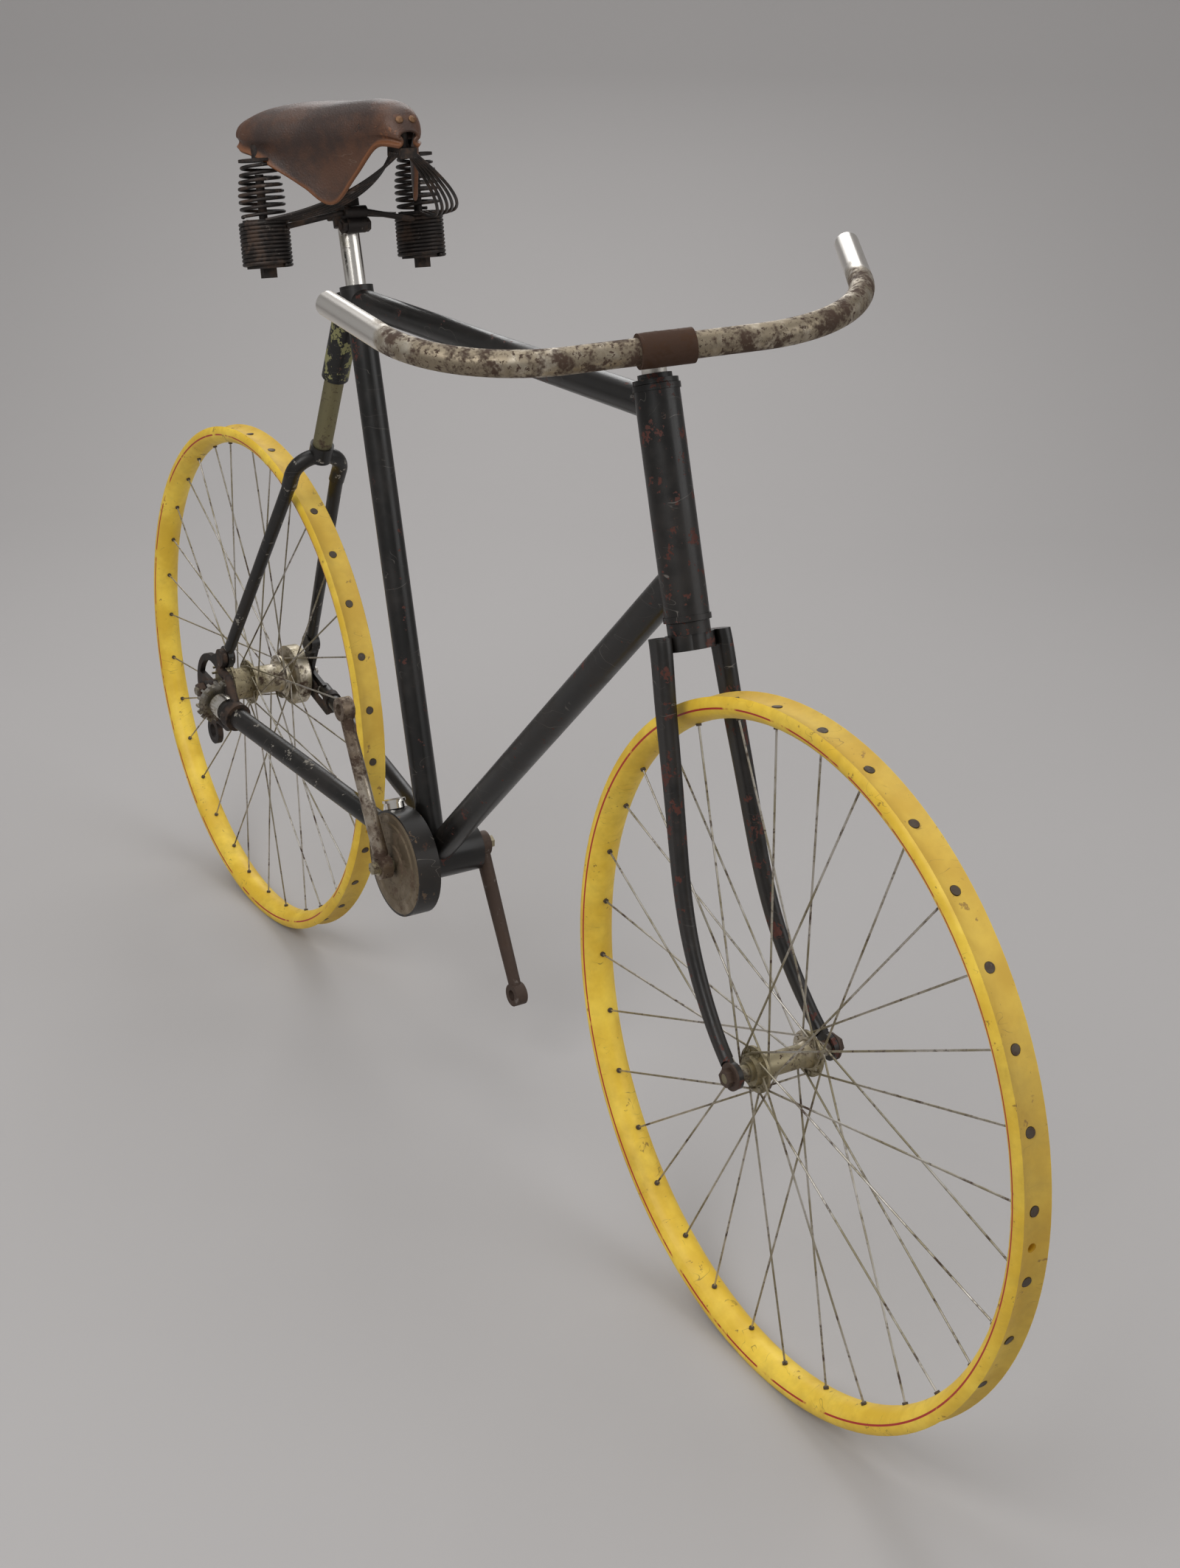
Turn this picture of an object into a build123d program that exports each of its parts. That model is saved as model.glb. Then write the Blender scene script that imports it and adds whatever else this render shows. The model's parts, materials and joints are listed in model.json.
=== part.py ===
from build123d import *
import os
from math import atan2, cos, degrees, hypot, radians, sin, tan

# Shaft-drive safety bicycle with a cushion frame and wood rims.
# Millimetres. +X forward, +Y to the rider's left, +Z up, origin at the centre of the bottom bracket.

# ---- driving dimensions -------------------------------------------------------------------------
# wheels
rim_diameter = 645.0
rim_width = 33.0
rim_crest_spacing = 26.6
rim_depth = 21.0
bed_depth = 4.5
spoke_count = 32
spoke_diameter = 1.9
spoke_lift = 1.9
nipple_diameter = 5.0
nipple_head_diameter = 8.6
nipple_length = 17.0
valve_hole_diameter = 8.0

# frame geometry
chain_stay_length = 470.3
bottom_bracket_drop = 58.1
head_angle = 72.3
head_bottom_x = 463.0
head_bottom_z = 408.3
head_length = 203.0
seat_top_x = -168.8
seat_top_z = 598.8
top_tube_height = 584.1
down_tube_join = 40.0
head_tube_diameter = 40.0
top_tube_diameter = 28.0
down_tube_diameter = 31.0
seat_tube_diameter = 29.0
tube_wall = 1.6
shell_diameter = 54.0
shell_left = 50.0
shell_right = 20.0
shell_wall = 6.0

# steering
wheel_rest_turn = -1.87
bar_turn = -14.7
fork_length = 385.9
fork_rake = 57.3
blade_spacing = 61.0
blade_curve_radius = 280.0
crown_drop = 11.0
crown_thickness = 14.0
steerer_diameter = 25.4
stem_post_diameter = 21.8
stem_reach = 40.0
bar_rise = 229.0
bar_diameter = 23.0
bar_wall = 1.5
bar_corner = 189.7
bar_leg = 207.7
bar_sweep = 74.0
bar_bend_radius = 140.0
bar_tilt = 26.0
clamp_width = 48.0
clamp_wall = 3.5

# cushion joint
cushion_lean = 24.0
cylinder_mouth_x = -225.2
cylinder_mouth_z = 491.4
cylinder_diameter = 30.0
cylinder_length = 84.0
plunger_diameter = 22.0
plunger_exposed = 108.0
plunger_insert = 50.0
cushion_travel = 7.7
stay_spread = 30.0
stay_diameter = 16.0
stay_pin_forward = 30.0
stay_pin_rise = 50.0
stay_pin_diameter = 10.0
stay_eye_clearance = 3.0

# shaft drive, in the plane through both gear axes
crank_pins = 32
front_teeth = 10
rear_teeth = 16
hub_pins = 20
tooth_pitch = 9.8
tooth_thickness = 3.0
gear_pin_diameter = 3.2
mesh_depth = 2.6
shaft_front_offset = 18.5
shaft_rear_offset = 75.3
shaft_diameter = 12.0
drive_tube_diameter = 25.0
housing_radius = 60.0
housing_back = 24.0
housing_face = 50.0
crank_length = 178.0
crank_angle = 110.0
spindle_diameter = 16.0
right_crank_offset = 64.0
left_crank_offset = 60.0
crank_flare = 13.0
pedal_hole_diameter = 12.7

# axles and hubs
front_axle_diameter = 9.4
front_flange_offset = 28.0
front_flange_diameter = 42.0
front_end_offset = 48.0
end_thickness = 5.0
rear_axle_diameter = 10.0
rear_right_flange = 15.0
rear_left_flange = 28.0
rear_flange_diameter = 56.0
drum_diameter = 76.0
drum_face = 57.0
bracket_face = 59.0
bracket_thickness = 7.0
left_stay_face = 62.0
left_stay_thickness = 5.0

# saddle
post_diameter = 22.2
post_height = 88.0
post_insert = 95.0
coil_offset = 91.0
coil_x = -190.0
coil_bottom_z = 620.0
coil_height = 51.0
coil_diameter = 53.0
coil_wire = 4.2
spring_diameter = 50.0
spring_height = 56.0
spring_turns = 4.5
spring_wire = 1.9
spring_taper = 5.5
saddle_travel = 8.0
unit_lean = 9.6
rod_radius = 4.5
cap_radius = 20.0
leather_thickness = 4.5
nose_x = -60.0
nose_z = 747.0
nose_block_length = 30.0
nose_block_width = 18.0
nose_block_height = 10.0
strand_count = 5
strand_spacing = 5.5
strand_radius = 1.7
left_belly = (-74.0, 50.0, 708.0)
right_belly = (-112.0, 26.0, 704.0)
clamp_height = 26.0
clamp_sleeve_wall = 4.0
clamp_wire_radius = 3.0

# fits
running_clearance = 0.05
side_clearance = 0.5
seat_gap = 0.3


# ---- shared shapes ------------------------------------------------------------------------------
def round_bar(start, end, radius, bore=0.0):
    """A straight round bar from start to end, or a tube where it has a bore."""
    run = Vector(*end) - Vector(*start)
    with BuildPart(mode=Mode.PRIVATE) as bar:
        with BuildSketch(Plane(origin=start, z_dir=run)):
            Circle(radius)
            if bore:
                Circle(bore, mode=Mode.SUBTRACT)
        extrude(amount=run.length)
    return bar.part


def tapered_bar(start, end, start_radius, end_radius):
    """A straight round bar whose radius changes evenly from start to end."""
    run = Vector(*end) - Vector(*start)
    base = Plane(origin=start, z_dir=run)
    with BuildPart(mode=Mode.PRIVATE) as bar:
        with BuildSketch(base):
            Circle(start_radius)
        with BuildSketch(base.offset(run.length)):
            Circle(end_radius)
        loft()
    return bar.part


def bent_bar(plane, points, bend_radius, radius, bore=0.0):
    """A round bar bent in one plane through the points, with equal bends at the inner ones."""
    with BuildPart(mode=Mode.PRIVATE) as bar:
        with BuildLine(plane) as path:
            FilletPolyline(*points, radius=bend_radius)
        with BuildSketch(Plane(origin=path.line @ 0, z_dir=path.line % 0)):
            Circle(radius)
            if bore:
                Circle(bore, mode=Mode.SUBTRACT)
        sweep(path=path.line)
    return bar.part


def hexagon_nut(plane, across_flats, thickness, bore):
    """A hexagon nut on the plane, growing along its normal."""
    with BuildPart(mode=Mode.PRIVATE) as nut:
        with BuildSketch(plane):
            RegularPolygon(across_flats / 2, 6, major_radius=False)
            if bore:
                Circle(bore, mode=Mode.SUBTRACT)
        extrude(amount=thickness)
    return nut.part


def finish(builder, name):
    """Name a finished piece and write it."""
    builder.part.label = name
    export_step(builder.part, f"parts/{name}.step")


os.makedirs("parts", exist_ok=True)

# ---- places worked out from the dimensions ------------------------------------------------------
LEFT = Vector(0, 1, 0)
rim_radius = rim_diameter / 2
rear_axle_x = -((chain_stay_length**2 - bottom_bracket_drop**2) ** 0.5)
rear_axle = Vector(rear_axle_x, 0, bottom_bracket_drop)

# gear plane: x runs rearward from the bottom bracket to the rear axle, y up, z to the left
gear_plane = Plane(origin=(0, 0, 0), x_dir=rear_axle.normalized(), z_dir=LEFT)


def gear_point(rearward, up, left):
    """A point given in the gear plane's own directions."""
    return gear_plane.from_local_coords(Vector(rearward, up, left))


# steering plane: origin at the bottom of the head tube, z up the steering axis, x forward
steer_up = Vector(-cos(radians(head_angle)), 0, sin(radians(head_angle)))
steer_ahead = Vector(sin(radians(head_angle)), 0, cos(radians(head_angle)))
head_bottom = Vector(head_bottom_x, 0, head_bottom_z)
head_top = head_bottom + steer_up * head_length


def turned(angle):
    """The forward direction of something turned about the steering axis by this angle."""
    return steer_ahead * cos(radians(angle)) + LEFT * sin(radians(angle))


fork_plane = Plane(origin=head_bottom, x_dir=turned(wheel_rest_turn), z_dir=steer_up)
stem_plane = Plane(origin=head_bottom, x_dir=turned(wheel_rest_turn + bar_turn), z_dir=steer_up)


def fork_point(ahead, left, up):
    """A point given in the fork's own directions."""
    return fork_plane.from_local_coords(Vector(ahead, left, up))


def stem_point(ahead, left, up):
    """A point given in the handlebar stem's own directions."""
    return stem_plane.from_local_coords(Vector(ahead, left, up))


front_axle = fork_point(fork_rake, 0, -fork_length)
front_wheel_plane = Plane(origin=front_axle, x_dir=fork_plane.x_dir, z_dir=fork_plane.y_dir)
rear_wheel_plane = Plane(origin=rear_axle, x_dir=(1, 0, 0), z_dir=LEFT)

seat_top = Vector(seat_top_x, 0, seat_top_z)
seat_up = seat_top.normalized()
seat_join = seat_top * (top_tube_height / seat_top_z)
head_join_top = head_bottom + steer_up * ((top_tube_height - head_bottom_z) / steer_up.Z)
head_join_low = head_bottom + steer_up * down_tube_join

# ---- frame --------------------------------------------------------------------------------------
head_radius = head_tube_diameter / 2
head_bore = head_radius - 3.0
with BuildPart() as head_tube:
    add(round_bar(head_bottom, head_top, head_radius, head_bore))
    for level in (head_bottom, head_top - steer_up * 5.0):
        add(round_bar(level, level + steer_up * 5.0, head_radius + 1.2, head_bore))
finish(head_tube, "head_tube")

head_core = round_bar(head_bottom - steer_up * 5, head_top + steer_up * 5, head_radius)
shell_core = round_bar((0, -shell_right, 0), (0, shell_left, 0), shell_diameter / 2)
lug_length = 46.0
lug_radius = seat_tube_diameter / 2 + 3.5
lug_core = round_bar(seat_top - seat_up * lug_length, seat_top, lug_radius)
seat_tube_core = round_bar((0, 0, 0), seat_top, seat_tube_diameter / 2)
down_radius = down_tube_diameter / 2

with BuildPart() as top_tube:
    top_radius = top_tube_diameter / 2
    add(round_bar(seat_join, head_join_top, top_radius, top_radius - tube_wall))
    add(head_core, mode=Mode.SUBTRACT)
    add(head_tube.part, mode=Mode.SUBTRACT)
    add(lug_core, mode=Mode.SUBTRACT)
    add(seat_tube_core, mode=Mode.SUBTRACT)
finish(top_tube, "top_tube")

with BuildPart() as down_tube:
    add(round_bar((0, 0, 0), head_join_low, down_radius, down_radius - tube_wall))
    add(head_core, mode=Mode.SUBTRACT)
    add(shell_core, mode=Mode.SUBTRACT)
finish(down_tube, "down_tube")

post_bore = post_diameter / 2 + running_clearance
down_tube_core = round_bar((0, 0, 0), head_join_low, down_radius)
with BuildPart() as seat_tube:
    add(round_bar((0, 0, 0), seat_top, seat_tube_diameter / 2, post_bore))
    add(shell_core, mode=Mode.SUBTRACT)
    add(down_tube_core, mode=Mode.SUBTRACT)
finish(seat_tube, "seat_tube")

cushion_up = Vector(sin(radians(cushion_lean)), 0, cos(radians(cushion_lean)))
mouth = Vector(cylinder_mouth_x, 0, cylinder_mouth_z)
cylinder_radius = cylinder_diameter / 2
cylinder_top = mouth + cushion_up * cylinder_length
cylinder_core = round_bar(mouth, cylinder_top, cylinder_radius)
bridge_end = cylinder_top - cushion_up * 16
bridge_start = seat_top - seat_up * 34

ear_gap = 2.0
ear_width = 22.0
ear_reach = 34.0
ear_height = 14.0
ear_bolt_radius = 3.0
bolt_back = 29.0
lug_plane = Plane(origin=seat_top - seat_up * 3, x_dir=(0, 1, 0), z_dir=-seat_up)
with BuildPart() as seat_lug:
    add(lug_core)
    with BuildSketch(lug_plane):
        with Locations((0, -ear_reach / 2)):
            Rectangle(ear_width, ear_reach)
    extrude(amount=ear_height)
    add(round_bar(bridge_start, bridge_end, 11.0))
    add(cylinder_core, mode=Mode.SUBTRACT)
    add(seat_tube_core, mode=Mode.SUBTRACT)
    with BuildSketch(lug_plane.offset(-3)):
        with Locations((0, -lug_radius - ear_reach / 2)):
            Rectangle(ear_gap, ear_reach)
    extrude(amount=ear_height + 6, mode=Mode.SUBTRACT)
    ear_rear = lug_plane.from_local_coords(Vector(0, -bolt_back, ear_height / 2))
    add(
        round_bar(ear_rear - LEFT * 30, ear_rear + LEFT * 30, ear_bolt_radius + running_clearance),
        mode=Mode.SUBTRACT,
    )
finish(seat_lug, "seat_lug")

with BuildPart() as seat_bolt:
    bolt_end = ear_width / 2 + 6
    add(round_bar(ear_rear - LEFT * bolt_end, ear_rear + LEFT * bolt_end, ear_bolt_radius))
    for side in (1, -1):
        face = Plane(origin=ear_rear + LEFT * side * ear_width / 2, z_dir=LEFT * side)
        add(hexagon_nut(face, 10.0, 4.5, 0))
finish(seat_bolt, "seat_bolt")

spindle_radius = spindle_diameter / 2
with BuildPart() as bottom_bracket_shell:
    shell_bore = shell_diameter / 2 - shell_wall
    add(round_bar((0, -shell_right, 0), (0, shell_left, 0), shell_diameter / 2, shell_bore))
finish(bottom_bracket_shell, "bottom_bracket_shell")

with BuildPart() as bottom_bracket_cups:
    cup_width = 9.0
    for start in (-shell_right, shell_left - cup_width):
        bore = spindle_radius + running_clearance
        add(round_bar((0, start, 0), (0, start + cup_width, 0), shell_bore, bore))
finish(bottom_bracket_cups, "bottom_bracket_cups")

steerer_radius = steerer_diameter / 2
cup_height = 8.0
with BuildPart() as head_races:
    for level in (head_bottom, head_top - steer_up * cup_height):
        add(round_bar(level, level + steer_up * cup_height, head_bore, steerer_radius + running_clearance))
finish(head_races, "head_races")

plunger_radius = plunger_diameter / 2
cylinder_bore = plunger_radius + running_clearance
block_length = cylinder_length - 6.0 - plunger_insert - 2.0
with BuildPart() as cushion_cylinder:
    add(cylinder_core)
    add(
        round_bar(mouth - cushion_up, cylinder_top - cushion_up * 6, cylinder_bore),
        mode=Mode.SUBTRACT,
    )
    add(seat_tube_core, mode=Mode.SUBTRACT)
finish(cushion_cylinder, "cushion_cylinder")

with BuildPart() as cushion_block:
    block_start = mouth + cushion_up * (plunger_insert + seat_gap)
    block_end = block_start + cushion_up * (block_length - seat_gap)
    add(round_bar(block_start, block_end, plunger_radius - 1.5, 4.0))
finish(cushion_block, "cushion_block")

# ---- fork and stem ------------------------------------------------------------------------------
locknut_height = 9.0
low = fork_point(0, 0, -crown_drop - crown_thickness)
high = fork_point(0, 0, head_length + side_clearance)
blade_long = 25.0
blade_wide = 15.0
blade_tip_long = 15.0
blade_tip_wide = 11.0
half_spacing = blade_spacing / 2
crown_plane = Plane(
    origin=fork_point(0, 0, -crown_drop), x_dir=fork_plane.x_dir, z_dir=fork_plane.z_dir
)
with BuildPart() as fork_crown:
    with BuildSketch(crown_plane.offset(-crown_thickness)):
        SlotOverall(blade_spacing - blade_wide - 0.2, blade_long + 5, rotation=90)
        Circle(steerer_radius + 4)
    extrude(amount=crown_thickness)
    add(round_bar(crown_plane.origin, fork_point(0, 0, -side_clearance), head_radius - 1))
    with BuildSketch(crown_plane.offset(-crown_thickness)):
        for side in (1, -1):
            with Locations((0, side * half_spacing)):
                SlotOverall(blade_long + 1.2, blade_wide + 1.2)
    extrude(amount=crown_thickness, mode=Mode.SUBTRACT)
    add(round_bar(low, high, steerer_radius))
    steerer_bore = stem_post_diameter / 2 + running_clearance
    add(round_bar(low - steer_up * 5, high + steer_up * 5, steerer_bore), mode=Mode.SUBTRACT)
finish(fork_crown, "fork_crown")

curve_drop = (2 * blade_curve_radius * fork_rake - fork_rake**2) ** 0.5
blade_straight = fork_length - curve_drop
end_offset = front_end_offset
with BuildPart() as fork_blades:
    for side in (1, -1):
        top_y = side * half_spacing
        end_y = side * (end_offset + end_thickness / 2)
        top_place = Plane(
            origin=fork_point(0, top_y, -crown_drop), x_dir=fork_plane.x_dir, z_dir=-fork_plane.z_dir
        )
        with BuildSketch(top_place):
            SlotOverall(blade_long, blade_wide)
        stations = 7
        for step in range(1, stations + 1):
            share = step / stations
            drop = crown_drop + (fork_length - 6 - crown_drop) * share
            below = max(0.0, drop - blade_straight)
            ahead = blade_curve_radius - (blade_curve_radius**2 - below**2) ** 0.5
            lean = degrees(atan2(below, blade_curve_radius - ahead))
            heading = fork_plane.x_dir * sin(radians(lean)) - fork_plane.z_dir * cos(radians(lean))
            place = Plane(
                origin=fork_point(ahead, top_y + (end_y - top_y) * share, -drop),
                x_dir=fork_plane.y_dir.cross(heading) * -1,
                z_dir=heading,
            )
            with BuildSketch(place):
                SlotOverall(
                    blade_long + (blade_tip_long - blade_long) * share,
                    blade_wide + (blade_tip_wide - blade_wide) * share,
                )
        loft()
        eye_plane = Plane(
            origin=fork_point(fork_rake, side * end_offset, -fork_length),
            x_dir=fork_plane.x_dir,
            z_dir=fork_plane.y_dir * side,
        )
        with BuildSketch(eye_plane):
            Circle(12.0)
        extrude(amount=end_thickness)
    axle_line = fork_plane.y_dir * (end_offset + 20)
    add(
        round_bar(front_axle - axle_line, front_axle + axle_line, front_axle_diameter / 2 + 0.02),
        mode=Mode.SUBTRACT,
    )
    for side in (1, -1):
        outward = fork_plane.y_dir * side
        inner = front_axle + outward * end_offset
        outer = front_axle + outward * (end_offset + end_thickness)
        add(round_bar(inner, inner - outward * 12, 16.0), mode=Mode.SUBTRACT)
        add(round_bar(outer, outer + outward * 12, 14.0), mode=Mode.SUBTRACT)
finish(fork_blades, "fork_blades")

with BuildPart() as head_cap:
    cap_base = fork_point(0, 0, head_length + side_clearance)
    cap_low = fork_point(0, 0, head_length + side_clearance + 4)
    cap_high = fork_point(0, 0, head_length + locknut_height)
    add(round_bar(cap_base, cap_low, head_radius - 0.2))
    add(round_bar(cap_low, cap_high, head_radius - 5))
    stem_clear = stem_post_diameter / 2 + running_clearance
    add(round_bar(head_bottom, cap_high + steer_up * 5, stem_clear), mode=Mode.SUBTRACT)
finish(head_cap, "head_cap")

bar_radius = bar_diameter / 2
stem_radius = stem_post_diameter / 2
sleeve_radius = bar_radius + clamp_wall
with BuildPart() as handlebar_stem:
    add(round_bar(stem_point(0, 0, head_length - 60), stem_point(0, 0, bar_rise + 10), stem_radius))
    add(
        round_bar(
            stem_point(stem_reach, -clamp_width / 2, bar_rise),
            stem_point(stem_reach, clamp_width / 2, bar_rise),
            sleeve_radius,
        )
    )
    with BuildSketch(Plane(origin=stem_point(0, 0, bar_rise - 9), x_dir=stem_plane.x_dir, z_dir=steer_up)):
        with Locations((stem_reach / 2, 0)):
            Rectangle(stem_reach, stem_post_diameter)
    extrude(amount=18)
    add(
        round_bar(
            stem_point(stem_reach, -clamp_width, bar_rise),
            stem_point(stem_reach, clamp_width, bar_rise),
            bar_radius + running_clearance,
        ),
        mode=Mode.SUBTRACT,
    )
    stem_bolt_radius = 4.0
    add(
        round_bar(stem_point(0, 0, 0), stem_point(0, 0, bar_rise + 30), stem_bolt_radius + running_clearance),
        mode=Mode.SUBTRACT,
    )
finish(handlebar_stem, "handlebar_stem")

with BuildPart() as stem_bolt:
    top = stem_point(0, 0, bar_rise + 10)
    add(round_bar(stem_point(0, 0, head_length - 75), top, stem_bolt_radius))
    add(hexagon_nut(Plane(origin=top, z_dir=steer_up), 15.0, 8.0, 0))
    add(
        tapered_bar(
            stem_point(0, 0, head_length - 75), stem_point(0, 0, head_length - 61), stem_radius, 6.0
        )
    )
finish(stem_bolt, "stem_bolt")

# ---- handlebar ----------------------------------------------------------------------------------
bar_centre = stem_point(stem_reach, 0, bar_rise)
bar_back = stem_plane.x_dir * -cos(radians(bar_tilt)) + steer_up * sin(radians(bar_tilt))
bar_plane = Plane(origin=bar_centre, x_dir=stem_plane.y_dir, z_dir=stem_plane.y_dir.cross(bar_back))
bar_end = (
    bar_corner + bar_leg * cos(radians(bar_sweep)),
    bar_leg * sin(radians(bar_sweep)),
)
with BuildPart() as handlebar:
    bar_path = [(-bar_end[0], bar_end[1]), (-bar_corner, 0), (bar_corner, 0), bar_end]
    add(bent_bar(bar_plane, bar_path, bar_bend_radius, bar_radius, bar_radius - bar_wall))
finish(handlebar, "handlebar")


# ---- wheels -------------------------------------------------------------------------------------
class Spoke:
    """One spoke of a wheel, in the wheel's own directions, from the flange to the rim."""

    def __init__(self, side, crossing, flange, circle, first):
        face = (flange_thickness / 2 + spoke_diameter / 2) * crossing
        if crossing > 0:
            face += spoke_lift
        swing = radians(first + 67.5 * crossing)
        self.first = first
        self.flange = flange
        self.hole = Vector(circle * cos(radians(first)), circle * sin(radians(first)), flange)
        self.start = self.hole + Vector(0, 0, face * side)
        self.tail = self.hole - Vector(0, 0, (flange_thickness / 2 + 0.25) * side * crossing)
        self.head = self.tail - Vector(0, 0, 0.9 * side * crossing)
        reach = rim_radius - bed_depth - 1.5
        self.rim = Vector(reach * cos(swing), reach * sin(swing), 0)
        self.heading = (self.rim - self.start).normalized()


flange_thickness = 2.6
spoke_radius = spoke_diameter / 2


def lacing(left_flange, right_flange, circle):
    """The four kinds of spoke that repeat round a wheel, each eight times over."""
    kinds = []
    for side, flange, offset in ((1, left_flange, 0.0), (-1, -right_flange, 360 / spoke_count)):
        kinds.append(Spoke(side, 1, flange, circle, offset))
        kinds.append(Spoke(side, -1, flange, circle, offset + 720 / spoke_count))
    return kinds


def wood_rim(plane, kinds):
    """A crescent-section rim with a hollowed bed, nipple holes and a valve hole."""
    crest = rim_crest_spacing / 2
    half = rim_width / 2
    inner = rim_radius - rim_depth
    with BuildPart(mode=Mode.PRIVATE) as rim:
        with BuildSketch(Plane(origin=plane.origin, x_dir=plane.x_dir, z_dir=-plane.y_dir)):
            with BuildLine():
                ThreePointArc(
                    (rim_radius, -crest), (rim_radius - bed_depth, 0), (rim_radius, crest)
                )
                ThreePointArc(
                    (rim_radius, crest), (rim_radius - 7.0, half), (inner + 5.0, half - 4.5)
                )
                ThreePointArc((inner + 5.0, half - 4.5), (inner, 0), (inner + 5.0, 4.5 - half))
                ThreePointArc(
                    (inner + 5.0, 4.5 - half), (rim_radius - 7.0, -half), (rim_radius, -crest)
                )
            make_face()
        revolve(axis=Axis(plane.origin, plane.z_dir))
    repeats = spoke_count // len(kinds)
    with BuildPart(plane, mode=Mode.PRIVATE) as drilled:
        with Locations((0, 0, 0)):
            add(plane.location.inverse() * rim.part)
        for kind in kinds:
            through = round_bar(
                kind.rim - kind.heading * 30, kind.rim + kind.heading * 20, nipple_diameter / 2
            )
            sink = round_bar(kind.rim, kind.rim + kind.heading * 20, nipple_head_diameter / 2 + 0.4)
            with PolarLocations(0, repeats):
                add(through, mode=Mode.SUBTRACT)
                add(sink, mode=Mode.SUBTRACT)
        valve = round_bar((0, 0, 0), (rim_radius + 5, 0, 0), valve_hole_diameter / 2)
        with PolarLocations(0, 1, start_angle=valve_angle):
            add(valve, mode=Mode.SUBTRACT)
    return drilled.part


valve_angle = 360 / spoke_count * 1.5


def wheel_spokes(plane, kinds):
    """Straight spokes with elbows hooked through the flanges."""
    with BuildPart(plane, mode=Mode.PRIVATE) as spokes:
        for kind in kinds:
            end = kind.rim - kind.heading * 4.0
            elbow = round_bar(kind.start, kind.head, spoke_radius)
            head = round_bar(kind.tail, kind.head, spoke_radius + 0.7)
            line = round_bar(kind.start, end, spoke_radius)
            with PolarLocations(0, spoke_count // len(kinds)):
                add([elbow, head, line])
    return spokes.part


def wheel_nipples(plane, kinds):
    """Spoke nipples: round barrels with slotted round heads sunk in the bed."""
    with BuildPart(plane, mode=Mode.PRIVATE) as nipples:
        for kind in kinds:
            foot = kind.rim - kind.heading * nipple_length
            barrel = round_bar(foot, kind.rim, nipple_diameter / 2, spoke_radius)
            head = round_bar(kind.rim, kind.rim + kind.heading * 2.2, nipple_head_diameter / 2)
            with PolarLocations(0, spoke_count // len(kinds)):
                add([barrel, head])
    return nipples.part


def hub_holes(kinds):
    """The spoke holes of both flanges, in the wheel's own directions."""
    holes = []
    for kind in kinds:
        reach = Vector(0, 0, flange_thickness)
        holes.append(round_bar(kind.hole - reach, kind.hole + reach, spoke_radius + 0.05))
    return holes


def revolved_hub(plane, profile, kinds):
    """A hub turned from a closed profile of radius and distance to the left."""
    with BuildPart(plane, mode=Mode.PRIVATE) as hub:
        with BuildSketch(Plane(origin=plane.origin, x_dir=plane.x_dir, z_dir=-plane.y_dir)):
            with BuildLine():
                Polyline(*profile, close=True)
            make_face()
        revolve(axis=Axis(plane.origin, plane.z_dir))
        for hole in hub_holes(kinds):
            with PolarLocations(0, spoke_count // len(kinds)):
                add(hole, mode=Mode.SUBTRACT)
    return hub.part


# front wheel
front_circle = front_flange_diameter / 2 - 4.0
front_kinds = lacing(front_flange_offset, front_flange_offset, front_circle)
cone_radius = 9.0
half_flange = flange_thickness / 2
front_hub_end = front_flange_offset + 7.0
front_flange_radius = front_flange_diameter / 2


def mirrored_profile(points):
    """Close a turned profile by repeating its points on the other side."""
    return points + [(radius, -place) for radius, place in reversed(points)]


front_profile = mirrored_profile(
    [
        (cone_radius, front_hub_end),
        (cone_radius + 4.0, front_hub_end),
        (cone_radius + 5.0, front_flange_offset + half_flange),
        (front_flange_radius, front_flange_offset + half_flange),
        (front_flange_radius, front_flange_offset - half_flange),
        (cone_radius + 4.0, front_flange_offset - half_flange),
        (cone_radius + 1.5, front_flange_offset - 10.0),
    ]
)
rear_circle = rear_flange_diameter / 2 - 4.0
rear_kinds = lacing(rear_left_flange, rear_right_flange, rear_circle)
for name, plane, kinds in (
    ("front", front_wheel_plane, front_kinds),
    ("rear", rear_wheel_plane, rear_kinds),
):
    for piece, shape in (
        ("rim", wood_rim(plane, kinds)),
        ("spokes", wheel_spokes(plane, kinds)),
        ("nipples", wheel_nipples(plane, kinds)),
    ):
        shape.label = f"{name}_{piece}"
        export_step(shape, f"parts/{name}_{piece}.step")

front_hub = revolved_hub(front_wheel_plane, front_profile, front_kinds)
front_hub.label = "front_hub"
export_step(front_hub, "parts/front_hub.step")

front_axle_radius = front_axle_diameter / 2
axle_left = fork_plane.y_dir


def along_front(distance):
    """A point on the front axle's line, this far to the left of the middle."""
    return front_axle + axle_left * distance


with BuildPart() as front_axle_rod:
    add(round_bar(along_front(-60.6), along_front(60.6), front_axle_radius))
finish(front_axle_rod, "front_axle")

with BuildPart() as front_cones:
    for side in (1, -1):
        inner = along_front(side * (front_hub_end - 8))
        outer = along_front(side * (front_hub_end + 3))
        spacer = along_front(side * end_offset)
        add(round_bar(inner, outer, cone_radius - running_clearance, front_axle_radius))
        add(round_bar(outer, spacer, cone_radius - 2, front_axle_radius))
finish(front_cones, "front_cones")

with BuildPart() as front_axle_nuts:
    for side in (1, -1):
        start = end_offset + end_thickness
        add(round_bar(along_front(side * start), along_front(side * (start + 2)), 12.5, front_axle_radius))
        face = Plane(origin=along_front(side * (start + 2)), z_dir=axle_left * side)
        add(hexagon_nut(face, 14.0, 6.0, front_axle_radius))
finish(front_axle_nuts, "front_axle_nuts")

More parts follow.
